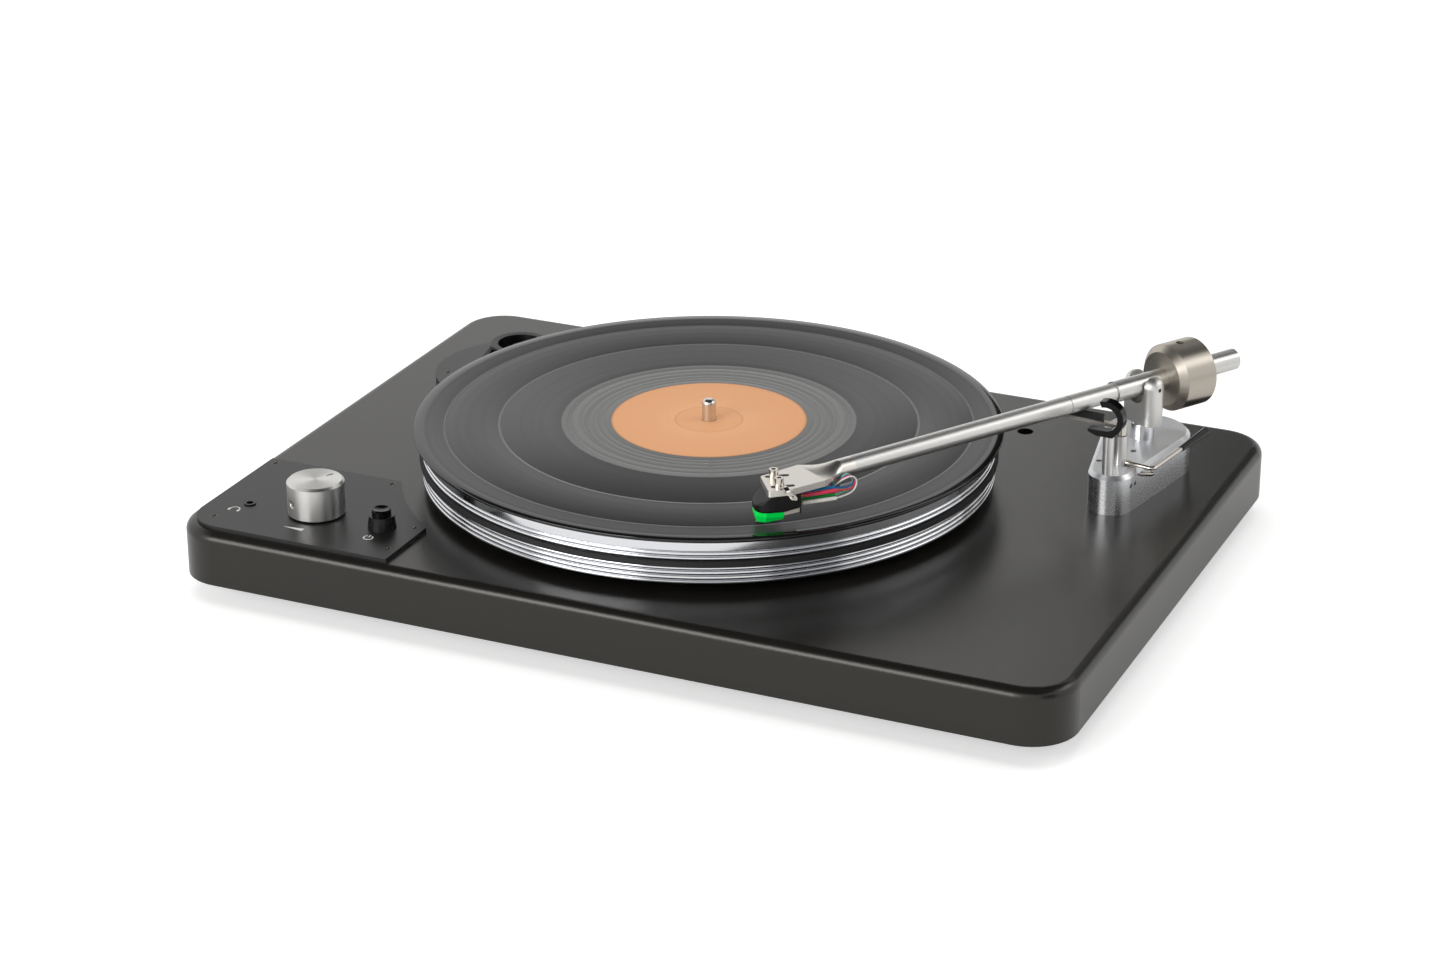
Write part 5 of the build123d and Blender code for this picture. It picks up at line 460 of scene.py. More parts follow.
# Platter: turned from aluminium, its rim cut with round beads either side of the belt's band.
# A diamond tool leaves it nearly polished, with rings that draw each light out upright.
# A mat of pressed felt lies on it, with no gloss and a little pile.
platter_metal = turned(
    "diamond_turned_aluminium", "#E2E3E6", spindle, upright,
    pitch=1.6 * mm, depth=0.0005 * mm, rough=(0.12, 0.15), anisotropy=0.3,
)
felt = grained(
    "pressed_black_felt", "#141414",
    size=0.9 * mm, depth=0.15 * mm, rough=(0.8, 0.95), shade=0.6, Sheen_Weight=0.3,
)
wear(felt, "platter_mat")
bead_foot, belt_seat, belt_low, belt_high = 146.0, 145.8, 14.18, 17.38
lower_cuts, upper_cuts, edge_round = (6.93, 9.43, 11.93, belt_low), (belt_high, 19.38, 21.88), 1.4


def bead(low, high, start=-1.0, stop=1.0):
    """Half an ellipse that stands 1 mm off its foot, with s from start to stop.

    Radius = foot + the root of 1 - s*s, and height = the middle + s times half the bead.
    """
    s = np.linspace(start, stop, 13)
    return np.stack([bead_foot + np.sqrt(1 - s**2), (low + high) / 2 + s * (high - low) / 2], -1)


platter_under = [(18.1, 4.9), (40.0, 4.9), (40.0, 17.9), (135.0, 17.9), (135.0, 4.9)]
platter_under += [(146.2, 4.9), (147.0, 5.7)]
platter_rim = [bead(lower_cuts[0] - edge_round, lower_cuts[0], start=0.0)]
platter_rim += [bead(low, high) for low, high in zip(lower_cuts, lower_cuts[1:])]
platter_rim += [[(belt_seat, belt_low), (belt_seat, belt_high)]]
platter_rim += [bead(low, high) for low, high in zip(upper_cuts, upper_cuts[1:])]
platter_rim += [bead(upper_cuts[-1], upper_cuts[-1] + edge_round, stop=0.0)]
platter_face = [(147.0, 26.6), (146.2, 27.4), (5.1, 27.4), (5.1, 8.0), (18.1, 8.0)]
platter_profile = np.concatenate([platter_under, *platter_rim, platter_face])
apart = np.linalg.norm(np.diff(platter_profile, axis=0), axis=1) > 1e-4
platter_profile = platter_profile[np.concatenate([[True], apart])]
points, faces = turn(platter_profile * mm, spindle + (0, 0, top), segments=360)
platter = build("beaded_platter", points, faces, platter_metal, "turning_platter", "polished_aluminium")
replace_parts(platter, "platter")

# Record: pressed black vinyl, smooth at the rim, with bands of fine groove and run-out inside them. The
# run-out's grey and the grooves' light and dark bands are painted sheen in its colour.
# Real grooves lie 0.1 mm apart, too fine to show, so the sheen is drawn by rings 0.8 mm apart.
record_low, record_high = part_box("record")[0].z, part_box("record")[1].z
label_edge, music_end, rim_start, record_edge = 50.05, 75.0, 145.0, 150.8
lands, land_half = (106.9, 134.9), 0.35
fine_pitch, wide_pitch = 0.8 * mm, 5.0 * mm
run_out = (54.0, 57.2, 61.0, 65.6, 70.4)
vinyl, tree, shader = finish_named("pressed_black_vinyl", "#0B0B0B", IOR=1.54, Anisotropic=0.6)
shader.inputs["Anisotropic Rotation"].default_value = 0.25
place = add(tree, "TexCoord").outputs["Object"]
away = add(tree, "VectorMath", {0: place, 1: tuple(spindle)}, operation="SUBTRACT").outputs["Vector"]
tangent = add(tree, "VectorMath", {0: upright, 1: away}, operation="CROSS_PRODUCT").outputs["Vector"]
radius = add(tree, "VectorMath", {0: tangent}, operation="LENGTH").outputs["Value"]
share = add(tree, "MapRange", {"Value": radius, "From Max": record_edge * mm}).outputs["Result"]
zones = add(tree, "ValToRGB", {"Fac": share})
zones.color_ramp.interpolation = "CONSTANT"
dead_wax, groove, land, rim = (0.35, 0, 0, 1), (1.0, 0, 0, 1), (0.25, 0, 0, 1), (0.0, 0, 0, 1)
steps = [(music_end, groove)]
for middle in lands:
    steps += [(middle - land_half, land), (middle + land_half, groove)]
steps += [(rim_start, rim)]
zones.color_ramp.elements[0].color = dead_wax
zones.color_ramp.elements[1].position = steps[0][0] / record_edge
zones.color_ramp.elements[1].color = steps[0][1]
for at, value in steps[1:]:
    zones.color_ramp.elements.new(at / record_edge).color = value
cut = add(tree, "SeparateColor", {"Color": zones.outputs["Color"]}).outputs["Red"]
fine = add(tree, "TexNoise", {"W": radius, "Scale": 1 / fine_pitch, "Detail": 2.0}, noise_dimensions="1D")
wide = add(tree, "TexNoise", {"W": radius, "Scale": 1 / wide_pitch, "Detail": 1.0}, noise_dimensions="1D")
fine, wide = fine.outputs["Fac"], wide.outputs["Fac"]
wave = add(tree, "Math", {0: fine, 1: wide}, operation="ADD").outputs["Value"]
depth = add(tree, "Math", {0: fine, 1: cut}, operation="MULTIPLY").outputs["Value"]
bump = add(tree, "Bump", {"Height": depth, "Strength": 0.5, "Distance": 0.05 * mm})
smooth = add(tree, "MapRange", {"Value": cut, "To Min": 0.10, "To Max": 0.40}).outputs["Result"]
swell = {"Value": wave, "From Min": 0.6, "From Max": 1.4}
uneven = add(tree, "MapRange", {**swell, "To Min": 0.88, "To Max": 1.12})
gloss = add(tree, "Math", {0: smooth, 1: uneven.outputs["Result"]}, operation="MULTIPLY").outputs["Value"]
# Painted sheen: the run-out is coloured a lighter grey, and the grooves a little lighter than the rim, for
# the gloss they show.
painted_sheen_ramp = add(tree, "ValToRGB", {"Fac": cut})
painted_sheen_ramp.color_ramp.elements[0].color = linear("#101010")
painted_sheen_ramp.color_ramp.elements[1].color = linear("#1D1D1D")
painted_sheen_ramp.color_ramp.elements[0].position = 0.1
painted_sheen_ramp.color_ramp.elements.new(0.35).color = linear("#4B4B49")
painted_sheen_ramp.color_ramp.elements.new(0.6).color = linear("#1D1D1D")
# Painted sheen: the groove rings lighten and darken the colour in bands.
painted_sheen_bands = add(tree, "MapRange", {**swell, "To Min": 0.65, "To Max": 1.35}).outputs["Result"]
base = add(tree, "VectorMath", {0: painted_sheen_ramp.outputs["Color"], 1: painted_sheen_bands}, operation="MULTIPLY")
base, bump = base.outputs["Vector"], bump.outputs["Normal"]
join_up(tree, shader, Base_Color=base, Roughness=gloss, Normal=bump, Tangent=tangent)

record_depth = (record_high - record_low) / mm
groove_level, dent, hole = record_depth - 0.06, 0.05, 3.7
outline = [(hole, 0), (record_edge - 0.5, 0), (record_edge - 0.15, 0.2), (record_edge, 0.55)]
outline += [(record_edge, record_depth - 0.55), (record_edge - 0.15, record_depth - 0.2)]
outline += [(record_edge - 0.5, record_depth), (rim_start + 0.4, record_depth), (rim_start, groove_level)]
for middle in lands[::-1]:
    outline += [(middle + 0.45, groove_level), (middle + 0.3, groove_level - dent)]
    outline += [(middle - 0.3, groove_level - dent), (middle - 0.45, groove_level)]
outline += [(music_end, groove_level)]
for middle in run_out[::-1]:
    sides = (middle + 0.22, groove_level), (middle - 0.22, groove_level)
    outline += [sides[0], (middle, groove_level - dent), sides[1]]
outline += [(label_edge, groove_level), (label_edge, record_depth - 0.15), (hole, record_depth - 0.15)]
points, faces = turn(np.array(outline) * mm, spindle + (0, 0, record_low), segments=256)
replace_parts(build("record_disc", points, faces, vinyl, "turning_platter", "vinyl", sharp=30), "record")

# Record label: a plain disc of uncoated orange paper, pressed into the vinyl with it.
# Paper is dull with a fine fibre, and the press leaves a faint ring round the hole and a darker edge.
label_radius, fibre_size = 50 * mm, 1.2 * mm
label_paper, tree, shader = finish_named("uncoated_orange_paper", "#E4A87A", Roughness=0.62, IOR=1.45)
place = add(tree, "TexCoord").outputs["Object"]
away = add(tree, "VectorMath", {0: place, 1: tuple(spindle)}, operation="SUBTRACT").outputs["Vector"]
flat = add(tree, "VectorMath", {0: away, 1: (1.0, 1.0, 0.0)}, operation="MULTIPLY").outputs["Vector"]
radius = add(tree, "VectorMath", {0: flat}, operation="LENGTH").outputs["Value"]
share = add(tree, "MapRange", {"Value": radius, "From Max": label_radius}).outputs["Result"]
shade = add(tree, "ValToRGB", {"Fac": share})
paper_steps = [(0.0, "#E4A87A"), (0.335, "#E4A87A"), (0.345, "#CF9464"), (0.355, "#E8AE80")]
paper_steps += [(0.60, "#E4A87A"), (0.975, "#E2A577"), (1.0, "#C58A5C")]
shade.color_ramp.elements[0].color = linear(paper_steps[0][1])
shade.color_ramp.elements[1].color = linear(paper_steps[-1][1])
for at, code in paper_steps[1:-1]:
    shade.color_ramp.elements.new(at).color = linear(code)
fibre = add(tree, "TexNoise", {"Vector": flat, "Scale": 1 / fibre_size, "Detail": 4.0}).outputs["Fac"]
tint = add(tree, "MapRange", {"Value": fibre, "To Min": 0.93, "To Max": 1.07}).outputs["Result"]
base = add(tree, "VectorMath", {0: shade.outputs["Color"], 1: tint}, operation="MULTIPLY")
bump = add(tree, "Bump", {"Height": fibre, "Strength": 0.3, "Distance": 0.02 * mm})
join_up(tree, shader, Base_Color=base.outputs["Vector"], Normal=bump.outputs["Normal"])
wear(label_paper, "record_label")

# Tonearm base: milled from aluminium with a bevelled top and polished, bolted to the plinth from below.
# Milling drew fine level lines round it, so light spreads upright on its sides and dims on top.
# Two zinc-plated grub screws sit in its right wall.
pitch = next(joint for joint in frame["joints"] if joint["name"] == "arm_pitch")
pivot = np.array(pitch["pos_m"])
outer = -np.array(pitch["axis"])
rise = np.array(upright)
along = np.cross(outer, rise)
wall_out, wall_back = np.array([0.98241, -0.186736, 0]), np.array([0.186736, 0.98241, 0])
base_metal, tree, shader = finish_named("polished_milled_aluminium", "#DFE0E2", Metallic=1.0)
shader.inputs["Anisotropic"].default_value = 0.8
shader.inputs["Anisotropic Rotation"].default_value = 0.25
place = add(tree, "TexCoord")
round_it = add(tree, "VectorMath", {0: upright, 1: place.outputs["Normal"]}, operation="CROSS_PRODUCT")
some_way = (0.001, 0.002, 0.0)  # keeps a direction on level faces, where the product is nothing
mill_way = add(tree, "VectorMath", {0: round_it.outputs["Vector"], 1: some_way}, operation="ADD")
join_up(tree, shader, Tangent=mill_way.outputs["Vector"])
facing = add(tree, "SeparateXYZ", {"Vector": place.outputs["Normal"]}).outputs["Z"]
fine = add(tree, "TexNoise", {"Vector": place.outputs["Object"], "Scale": 1 / (0.5 * mm), "Detail": 3.0})
side_rough, top_rough = 0.27, 0.38
gloss = add(tree, "MapRange", {
    "Value": facing, "From Min": 0.2, "From Max": 0.6, "To Min": side_rough, "To Max": top_rough,
})
spread = add(tree, "MapRange", {"Value": fine.outputs["Fac"], "To Min": 0.95, "To Max": 1.05})
rough = add(tree, "Math", {0: gloss.outputs["Result"], 1: spread.outputs["Result"]}, operation="MULTIPLY")
bump = add(tree, "Bump", {"Height": fine.outputs["Fac"], "Strength": 0.1, "Distance": 0.001 * mm})
join_up(tree, shader, Roughness=rough.outputs["Value"], Normal=bump.outputs["Normal"])
wear(base_metal, "tonearm_base")
base_nose = np.array([186.1246, 43.7889, 54.2]) * mm
wall_reach, screw_sink = 11.6 * mm, 0.9 * mm
for number, back in enumerate((-0.6 * mm, 3.8 * mm), 1):
    head = base_nose + wall_out * (wall_reach - screw_sink) + wall_back * back
    points, faces = turn(grub * 0.98, head, wall_out, segments=36, flats=3)
    build(f"base_grub_screw_{number}", points, faces, zinc, "deck", "steel")

# Pivot: a pillar with two small bearings carries the yoke, which swings on a steel shaft.
# The pillar is polished, the yoke bead blasted to a fine even satin, its pivot screws blackened,
# and shaft and bearings are bright steel, a clear mirror with a slight haze.
blasted = grained(
    "bead_blasted_aluminium", "#E0DFDC",
    size=0.35 * mm, depth=0.03 * mm, rough=(0.40, 0.48), shade=0.95, Metallic=1.0,
)
bright_steel = grained(
    "bright_steel", "#CFC9C1",
    size=0.8 * mm, depth=0.006 * mm, rough=(0.12, 0.20), shade=0.96, Metallic=1.0,
)
pillar_metal = turned(
    "polished_aluminium_pillar", "#DEDFE1", pivot, upright,
    pitch=0.4 * mm, depth=0.003 * mm, rough=(0.20, 0.26), anisotropy=0.7,
)
wear(pillar_metal, "arm_pillar")
wear(blasted, "yoke")
wear(bright_steel, "yaw_shaft", "yaw_bearings")
wear(oxide, "pivot_screws")

# Arm: a drawn aluminium tube, held in a turned sleeve at its back, with a fine joint before the yoke.
# Drawing leaves lengthwise lines, so the tube shows one soft band of light along it.
joint_at, draw_stretch = 51 * mm, 0.02
tube_metal, tree, shader = finish_named("drawn_aluminium_tube", "#DAD9D6", Metallic=1.0, Anisotropic=0.2)
place = add(tree, "TexCoord").outputs["Object"]
away = add(tree, "VectorMath", {0: place, 1: tuple(pivot)}, operation="SUBTRACT").outputs["Vector"]
far = add(tree, "VectorMath", {0: tuple(along), 1: away}, operation="DOT_PRODUCT").outputs["Value"]
aside = add(tree, "VectorMath", {0: tuple(outer), 1: away}, operation="DOT_PRODUCT").outputs["Value"]
height = add(tree, "VectorMath", {0: upright, 1: away}, operation="DOT_PRODUCT").outputs["Value"]
stretched = add(tree, "Math", {0: far, 1: draw_stretch}, operation="MULTIPLY").outputs["Value"]
lines = add(tree, "CombineXYZ", {"X": stretched, "Y": aside, "Z": height}).outputs["Vector"]
drawn = add(tree, "TexNoise", {"Vector": lines, "Scale": 1 / (0.5 * mm), "Detail": 2.0}).outputs["Fac"]
from_joint = add(tree, "Math", {0: far, 1: joint_at}, operation="SUBTRACT").outputs["Value"]
off_joint = add(tree, "Math", {0: from_joint}, operation="ABSOLUTE").outputs["Value"]
joint = add(tree, "MapRange", {
    "Value": off_joint, "From Min": 0.12 * mm, "From Max": 0.3 * mm, "To Min": 0.35,
})
tint = add(tree, "MapRange", {"Value": drawn, "To Min": 0.94, "To Max": 1.06}).outputs["Result"]
shade = add(tree, "Math", {0: tint, 1: joint.outputs["Result"]}, operation="MULTIPLY").outputs["Value"]
base = add(tree, "VectorMath", {0: linear("#DAD9D6")[:3], 1: shade}, operation="MULTIPLY")
gloss = add(tree, "MapRange", {"Value": drawn, "To Min": 0.34, "To Max": 0.44}).outputs["Result"]
bump = add(tree, "Bump", {"Height": drawn, "Strength": 0.2, "Distance": 0.01 * mm})
around = add(tree, "VectorMath", {0: tuple(along), 1: away}, operation="CROSS_PRODUCT").outputs["Vector"]
base, bump = base.outputs["Vector"], bump.outputs["Normal"]
join_up(tree, shader, Base_Color=base, Roughness=gloss, Normal=bump, Tangent=around)
sleeve_metal = turned(
    "turned_aluminium_sleeve", "#D5D4D1", pivot, along,
    pitch=0.4 * mm, depth=0.003 * mm, rough=(0.28, 0.36), anisotropy=0.5,
)
wear(tube_metal, "arm_tube")
wear(sleeve_metal, "arm_sleeve")

# Counterweight: turned from stainless bar, brushed round its barrel, with a bright cut bevel.
# A blackened socket screw on top clamps it to the sleeve.
stainless = turned(
    "brushed_stainless_steel", "#B9B2A7", pivot, along,
    pitch=0.4 * mm, depth=0.006 * mm, rough=(0.28, 0.38), anisotropy=0.75,
)
wear(stainless, "counterweight")
clamp_seat = pivot + (along * -22.7 + rise * 16.7) * mm
points, faces = turn(grub * 1.68, clamp_seat, rise, segments=36, flats=3)
build("weight_clamp_screw", points, faces, oxide, "balance_weight", "screw_black")

# Headshell: a slotted aluminium plate milled in one piece with its neck, tumbled to a soft even grey.
# Two bright cap screws hold the cartridge under it and clamp the finger lift on it.
# The lift is a strap of bright steel, bent down and back from a washer, with a holed spoon at its end.
tumbled = grained(
    "tumbled_aluminium", "#E8E4DC",
    size=0.6 * mm, depth=0.015 * mm, rough=(0.30, 0.40), shade=0.95, Metallic=1.0,
)
wear(tumbled, "headshell")
wear(bright_steel, "cartridge_screws")

offset = math.radians(-23.2)
nose_way = along * math.cos(offset) + np.cross(rise, along) * math.sin(offset)
side_way = np.cross(rise, nose_way)
seat = pivot + (along * 228.0 + outer * -2.9 + rise * -2.2) * mm
cartridge_axes = np.stack([nose_way, side_way, rise])


def on_cartridge(points):
    """Places given in millimetres forwards, outwards and up from the cartridge's seat."""
    return seat + np.array(points, float) @ cartridge_axes * mm


# The strap follows a cubic curve: its four points weighted by (1-t)^3, 3t(1-t)^2, 3t^2(1-t) and t^3.
bend = np.array([(-0.9, 7.8, 3.6), (-2.6, 11.2, 4.9), (-2.2, 12.0, 3.0), (-3.9, 13.4, 1.5)])
strap_steps, strap_thick, spoon_reach, washer_spot = 25, 0.7 * mm, 1.9 * mm, (0, 6.35, 0)
t = np.linspace(0, 1, strap_steps)
weights = np.stack([(1 - t) ** 3, 3 * (1 - t) ** 2 * t, 3 * (1 - t) * t**2, t**3], -1)
strap = strip(on_cartridge(weights @ bend), np.linspace(3.0, 2.4, strap_steps) * mm, rise, strap_thick)
spoon_run = on_cartridge(bend[3]) - on_cartridge(bend[2])
spoon_run /= np.linalg.norm(spoon_run)
spoon_aside = np.cross(rise, spoon_run) / np.linalg.norm(np.cross(rise, spoon_run))
spoon_up = np.cross(spoon_run, spoon_aside)
spoon_profile = np.array([(0.8, -0.35), (2.1, -0.35), (2.2, 0.0), (2.1, 0.35), (0.8, 0.35)]) * mm
spoon = turn(spoon_profile, on_cartridge(bend[3]) + spoon_run * spoon_reach, spoon_up, segments=40)
washer_profile = np.array([(1.3, 3.2), (2.6, 3.2), (2.6, 4.0), (1.3, 4.0)]) * mm
washer = turn(washer_profile, on_cartridge(washer_spot), rise, segments=40)
points, faces = joined([strap, spoon, washer])
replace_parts(build("finger_strap", points, faces, bright_steel, "arm", "steel"), "finger_lift")

# Cartridge: a matt moulded body with a sloping brow and ribbed sides, a nickel shield under its rear,
# gilt pins behind, and a clear green stylus holder in facets, pushed on, with a fine metal cantilever.
# The moulding is dark, the shield pale and dull, gilt a warm mirror, and the acrylic glows a little.
matt_black = grained(
    "matt_black_moulding", "#0A0A0A", size=0.5 * mm, depth=0.01 * mm, rough=(0.34, 0.42), IOR=1.34,
)
pressed_plate = grained(
    "matt_nickel_plate", "#DDD6CA",
    size=0.5 * mm, depth=0.01 * mm, rough=(0.42, 0.52), shade=0.96, Metallic=0.35,
)
gilt = grained(
    "gilt_brass", "#E0B458",
    size=0.4 * mm, depth=0.004 * mm, rough=(0.14, 0.22), shade=0.95, Metallic=1.0,
)
clear_green = grained(
    "clear_green_acrylic", "#00F55E", size=1.5 * mm, depth=0.002 * mm, rough=(0.16, 0.22), shade=0.95,
    IOR=1.49, Subsurface_Weight=0.3, Subsurface_Scale=0.003,
)


def stacked(loops):
    """Closes a stack of loops with as many points each into a solid: quads between them, and two ends."""
    loops = np.array(loops, float)
    here = np.arange(loops.size // 3).reshape(len(loops), -1)
    beside = np.roll(here, -1, axis=1)
    quads = np.stack([here[:-1], beside[:-1], beside[1:], here[1:]], -1).reshape(-1, 4)
    ends = [here[0][::-1].tolist(), here[-1].tolist()]
    return on_cartridge(loops.reshape(-1, 3)), quads.tolist() + ends


# Seen from above the nose is a superellipse and the ribs are a square wave. Each level down the body is
# cut off in front by its brow, and the floor rises towards the rear.
shell_half, shell_back, shell_deep = 8.2, -9.9, 9.6
rib_pitch, rib_deep, rib_stop = 1.5, 0.16, 2.0
nose_start, nose_long, nose_power = 4.6, 6.8, 0.85
nose_turn = np.radians(np.linspace(0, 90, 25))
nose_x = nose_start + nose_long * np.sin(nose_turn) ** nose_power
nose_y = shell_half * np.cos(nose_turn) ** nose_power
rib_x = np.linspace(shell_back, 3.4, 108)
rib_y = shell_half - rib_deep * (np.sin(rib_x * 2 * np.pi / rib_pitch) > 0.45) * (rib_x < rib_stop)
half_x, half_y = np.concatenate([rib_x, nose_x]), np.concatenate([rib_y, nose_y])
plan_x, plan_y = np.concatenate([half_x, half_x[-2::-1]]), np.concatenate([half_y, -half_y[-2::-1]])
down = np.array([9.6, 9.3, 8.6, 7.6, 7.0, 6.5, 6.0, 5.0, 4.0, 3.0, 2.0, 1.0, 0.3, 0.0])
brow = np.array([10.9, 11.2, 11.4, 11.4, 11.2, 10.9, 10.3, 8.8, 7.3, 5.8, 4.3, 2.8, 1.8, 1.5])
body_x = np.minimum(plan_x, brow[:, None])
floor_z = np.interp(body_x, (shell_back, -2.3), (7.9, shell_deep))
body_z = -down[:, None] * floor_z / shell_deep
inset = np.where(down > 9.5, 0.3, 0)[:, None]
body_y = plan_y - np.sign(plan_y) * inset * (abs(plan_y) > 1)
points, faces = stacked(np.stack([body_x, body_y, body_z], -1)[:, ::-1])
shell = build("cartridge_shell", points, faces, matt_black, "arm", "black_plastic", sharp=50)
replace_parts(shell, "cartridge_body")
tail = [[(-10.5, -8.0, z), (-9.9, -8.0, z), (-9.9, 8.0, z), (-10.5, 8.0, z)] for z in (-10.9, 0.0)]
build("cartridge_tail", *stacked(tail), matt_black, "arm", "black_plastic")
shield = [
    [(-9.9, -6.9, -10.5), (-2.4, -6.9, -11.7), (-2.4, 6.9, -11.7), (-9.9, 6.9, -10.5)],
    [(-9.9, -7.4, -7.95), (-2.4, -7.4, -9.63), (-2.4, 7.4, -9.63), (-9.9, 7.4, -7.95)],
]
plate = build("cartridge_plate", *stacked(shield), pressed_plate, "arm", "stainless")
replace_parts(plate, "cartridge_shield")
holder_low = [(-2.3, 5.6, -14.1), (6.0, 5.2, -15.5), (9.6, 3.6, -15.4), (10.2, 2.6, -15.0)]
holder_middle = [(-2.3, 7.0, -12.4), (6.4, 6.9, -12.2), (10.2, 4.2, -12.0), (10.9, 2.8, -12.0)]
holder_high = [(-2.3, 7.5, -9.65), (6.2, 7.5, -9.65), (10.0, 4.4, -9.65), (10.7, 3.0, -9.65)]
holder_half = np.array([holder_low, holder_middle, holder_high])
holder = np.concatenate([holder_half * (1, -1, 1), holder_half[:, ::-1]], axis=1)
block = build("stylus_block", *stacked(holder), clear_green, "arm", "green_plastic", sharp=10)
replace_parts(block, "stylus_holder")
wear(gilt, "cartridge_pins")
wear(bright_steel, "cantilever")

# Leads: four fine wires, each crimped in a sleeved tag on its pin, that loop up and over beside the neck
# and into it from below. Wire and sleeve are coloured PVC, with a soft gloss.
loop = np.array([
    (197.0, 9.8, -7.4), (192.5, 10.5, -6.2), (190.9, 10.3, -2.3), (193.8, 9.7, 0.8), (197.6, 8.8, -0.6),
    (197.8, 6.3, -3.6), (197.2, 4.0, -6.8), (198.0, 1.7, -8.3), (198.6, -0.2, -6.2), (198.4, -0.2, -2.9),
])
step = np.arange(1, len(loop) + 1)
from_tag = np.maximum(1 - step / 3, 0)
swing = np.radians(90) * np.clip((step - 4) / 3, 0, 1)
leads = {
    "green": (-2.0, 8.3, -1.5, "#00A03C", "#7CC79A", 36.0),
    "blue": (-2.0, 4.3, -0.5, "#0A86C4", "#1F6FB5", 35.6),
    "red": (2.0, 4.3, 0.5, "#E23355", "#D2303C", 37.7),
    "white": (2.0, 8.3, 1.5, "#E6E5DF", "#E4E3DC", 40.8),
}
pvc = {"depth": 0.004 * mm, "shade": 0.93, "IOR": 1.53}
wire_radius, lead_gap, tag_overlap = 0.4 * mm, 1.2, 0.8 * mm
pin_back, tag_back, tag_rise, middle_pin = -12.25, -29.25, 1.1, 6.3
middle_end = seat + (nose_way * tag_back + rise * (tag_rise - middle_pin)) * mm
for colour, (pin_side, pin_height, rank, sleeve_code, wire_code, length) in leads.items():
    sleeve_pvc = grained(f"{colour}_tag_sleeve", sleeve_code, size=0.7 * mm, rough=(0.3, 0.4), **pvc)
    wire_pvc = grained(f"{colour}_wire_pvc", wire_code, size=0.5 * mm, rough=(0.35, 0.45), **pvc)
    pin_end = seat + (nose_way * pin_back + side_way * pin_side - rise * pin_height) * mm
    tag_end = seat + (nose_way * tag_back + side_way * pin_side + rise * (tag_rise - pin_height)) * mm
    reach = np.linalg.norm(tag_end - pin_end)
    tag_way = (tag_end - pin_end) / reach
    apart = rank * lead_gap * (1 - from_tag)
    across = loop + np.stack([apart * np.sin(swing), apart * np.cos(swing), 0 * apart], -1)
    exit_point = tag_end - tag_way * tag_overlap
    route = pivot + across @ np.stack([along, outer, rise]) * mm
    route = np.concatenate([exit_point[None], route + (tag_end - middle_end) * from_tag[:, None]])
    curve = bpy.data.curves.new(f"lead_{colour}_wire", "CURVE")
    curve.dimensions = "3D"
    curve.bevel_depth, curve.bevel_resolution, curve.use_fill_caps = wire_radius, 4, True
    spline = curve.splines.new("NURBS")
    spline.points.add(len(route) - 1)
    spline.points.foreach_set("co", np.c_[route, np.ones(len(route))].ravel())
    spline.use_endpoint_u, spline.order_u, spline.resolution_u = True, 3, 12
    curve.materials.append(wire_pvc)
    wire = bpy.data.objects.new(f"lead_{colour}_wire", curve)
    bpy.context.scene.collection.objects.link(wire)
    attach(wire, "arm")
    tag_long = reach / mm
    tag_profile = [(0, 0), (0.7, 0), (0.95, 0.2), (1.0, 0.5), (1.0, 5.4), (0.86, 5.7), (0.86, 6.2)]
    tag_profile += [(1.0, 6.5), (1.0, tag_long - 0.6), (0.85, tag_long - 0.2)]
    tag_profile += [(0.5, tag_long), (0, tag_long)]
    points, faces = turn(np.array(tag_profile) * mm, pin_end, tag_way, segments=32)
    tag = build(f"lead_{colour}_tag", points, faces, sleeve_pvc, "arm", f"lead_{colour}")
    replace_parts(wire, f"lead_{colour}")

# Arm rest: a polished steel post in the base, with a moulded clip that the parked tube snaps into.
# The clip is gloss black plastic, and the post's rings draw each light out upright.
rest_spot = np.array([186.02, 36.99, 0]) * mm
post_rings = {"pitch": 0.4 * mm, "depth": 0.003 * mm, "rough": (0.30, 0.36), "anisotropy": 0.6}
rest_metal = turned("polished_steel_rest_post", "#D9D8D6", rest_spot, upright, **post_rings)
wear(rest_metal, "arm_rest_post")
wear(gloss_black, "arm_rest_clip", "cue_handle")

# Arm lift: a plunger in a second post raises a curved bar with a rubber pad under the tube.
# A bent steel lever with a plastic handle turns below it, against a pointed stop pin.
lift_spot = np.array([187.82, 52.09, 0]) * mm
lift_metal = turned("polished_steel_lift_post", "#D9D8D6", lift_spot, upright, **post_rings)
wear(lift_metal, "lift_post")
wear(bright_steel, "lift_bar", "cue_lever", "lever_stop")
wear(rubber, "lift_pad")

# Studio: a pale painted floor and a white room, lit by three soft panels.
# Black cards hang overhead and behind, and a grey one stands at the right, so that metal has form.
room_light, floor_glow, floor_dim = 0.6, 0.5, 0.3


def show(tree):
    """One where a ray comes from the camera or off gloss or glass, otherwise nought."""
    path = add(tree, "LightPath").outputs
    part = add(tree, "Math", {0: path["Is Camera Ray"], 1: path["Is Glossy Ray"]}, operation="MAXIMUM")
    both = {0: part.outputs["Value"], 1: path["Is Transmission Ray"]}
    return add(tree, "Math", both, operation="MAXIMUM").outputs["Value"]


world = bpy.data.worlds.new("white_room")
bpy.context.scene.world = world
world.use_nodes = True
tree = world.node_tree
strength = add(tree, "MapRange", {"Value": show(tree), "To Min": room_light, "To Max": 1.0})
tree.nodes["Background"].inputs["Color"].default_value = (1, 1, 1, 1)
tree.links.new(strength.outputs["Result"], tree.nodes["Background"].inputs["Strength"])

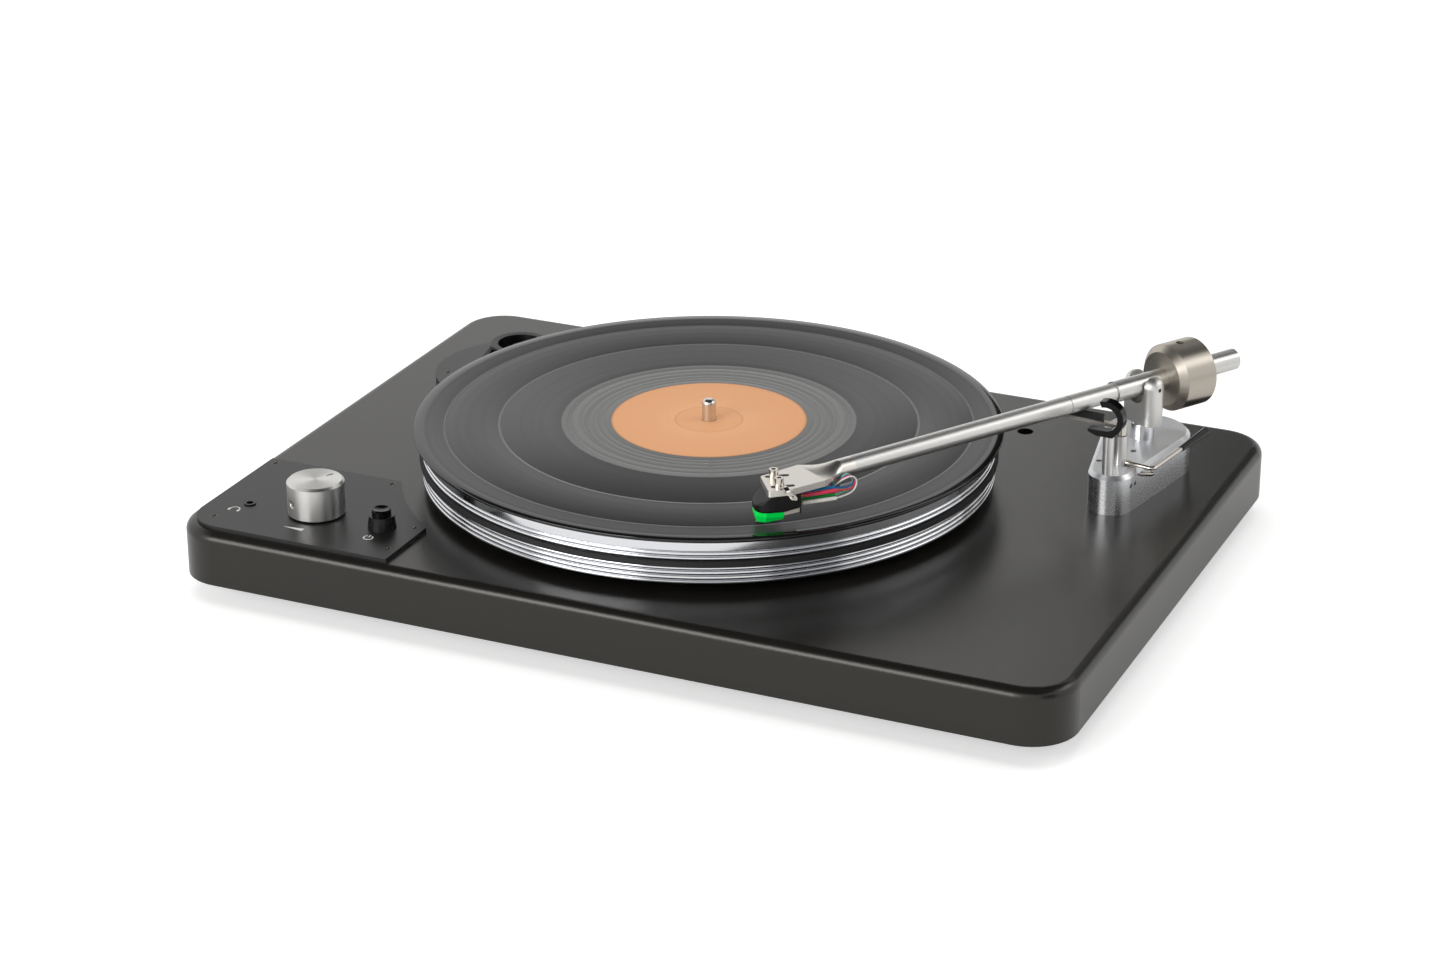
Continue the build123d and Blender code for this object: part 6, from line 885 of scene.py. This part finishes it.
floor_paint = bpy.data.materials.new("pale_floor_paint")
floor_paint.use_nodes = True
tree = floor_paint.node_tree
tree.nodes.remove(tree.nodes["Principled BSDF"])
diffuse = add(tree, "BsdfDiffuse", {"Color": linear("#EBEBEA")})
glossy = add(tree, "LightPath").outputs["Is Glossy Ray"]
seen = add(tree, "Math", {0: show(tree), 1: floor_glow}, operation="MULTIPLY").outputs["Value"]
dimmed = add(tree, "Math", {0: glossy, 1: floor_dim}, operation="MULTIPLY").outputs["Value"]
glow_level = add(tree, "Math", {0: seen, 1: dimmed}, operation="SUBTRACT").outputs["Value"]
glow = add(tree, "Emission", {"Color": (1, 1, 1, 1), "Strength": glow_level})
both = add(tree, "AddShader", {0: diffuse.outputs["BSDF"], 1: glow.outputs["Emission"]})
tree.links.new(both.outputs["Shader"], tree.nodes["Material Output"].inputs["Surface"])
black_card = finish_named("black_card", "#050505", Roughness=0.9)[0]
grey_card = finish_named("grey_card", "#8A8E94", Roughness=0.9)[0]


def card(name, centre, across, down, finish):
    """A flat sheet: centre + s*across + t*down, with s and t from minus a half to a half."""
    s, t = np.meshgrid((-0.5, 0.5), (-0.5, 0.5))
    points = np.array(centre) + s[..., None] * np.array(across) + t[..., None] * np.array(down)
    mesh = bpy.data.meshes.new(name)
    mesh.from_pydata(points.reshape(-1, 3).tolist(), [], [[0, 1, 3, 2]])
    mesh.materials.append(finish)
    made = bpy.data.objects.new(name, mesh)
    bpy.context.scene.collection.objects.link(made)
    return made


card("floor", (0, 0, 0), (14, 0, 0), (0, 14, 0), floor_paint)
cards = (
    card("overhead_card", (0, 0, 1.3), (2.6, 0, 0), (0, 2.6, 0), black_card),
    card("side_card", (1.75, -1.0, 0.55), (0.5, 0.88, 0), (0, 0, 1.1), grey_card),
    card("back_card", (0.5, 2.0, 1.0), (1.8, 0, 0), (0, 0, 0.85), black_card),
)
for hung in cards:
    hung.visible_camera = False

# Each panel has its place, width, height and power in watts, and is mirrored in gloss or not. All face a
# point over the middle of the plinth.
aim = np.array([0, 0, 0.05])
panels = {
    "front_left_panel": ((-0.8, -1.9, 0.8), 1.5, 0.9, 22.0, True),
    "right_panel": ((1.15, 0.55, 1.2), 0.9, 0.9, 4.5, True),
    "overhead_panel": ((0.0, 0.02, 1.2), 1.6, 1.6, 11.0, False),
}
for name, (spot, width, height, power, mirrored) in panels.items():
    light = bpy.data.lights.new(name, "AREA")
    light.shape, light.size, light.size_y, light.energy = "RECTANGLE", width, height, power
    lamp = bpy.data.objects.new(name, light)
    bpy.context.scene.collection.objects.link(lamp)
    back = np.array(spot) - aim
    back /= np.linalg.norm(back)
    right = np.cross(rise, back)
    right /= np.linalg.norm(right)
    turned_to = np.eye(4)
    turned_to[:3] = np.stack([right, np.cross(back, right), back, spot], -1)
    lamp.matrix_world = Matrix(turned_to)
    lamp.visible_camera = False
    lamp.visible_glossy = mirrored

# Camera: at the photograph's own angle, a little over the plinth and to its right.
# Its turn, height and lens come from the ellipses of the record and the edges of the plinth.
eye = np.array([0.6671, -1.5030, 0.7464])
azimuth, elevation, roll = np.radians([24.19, 23.22, -0.12])
forth = np.array([np.sin(azimuth), -np.cos(azimuth), 0])
level = np.array([np.cos(azimuth), np.sin(azimuth), 0])
back = np.cos(elevation) * forth + np.sin(elevation) * rise
lift = np.cross(back, level)
right = np.cos(roll) * level + np.sin(roll) * lift
up = np.cos(roll) * lift - np.sin(roll) * level
lens = bpy.data.cameras.new("camera")
lens.lens, lens.sensor_width, lens.clip_start, lens.clip_end = 86.89, 36.0, 0.05, 50.0
camera = bpy.data.objects.new("camera", lens)
bpy.context.scene.collection.objects.link(camera)
stand = np.eye(4)
stand[:3] = np.stack([right, up, back, eye], -1)
camera.matrix_world = Matrix(stand)
bpy.context.scene.camera = camera
bpy.context.scene.view_settings.view_transform = "Standard"
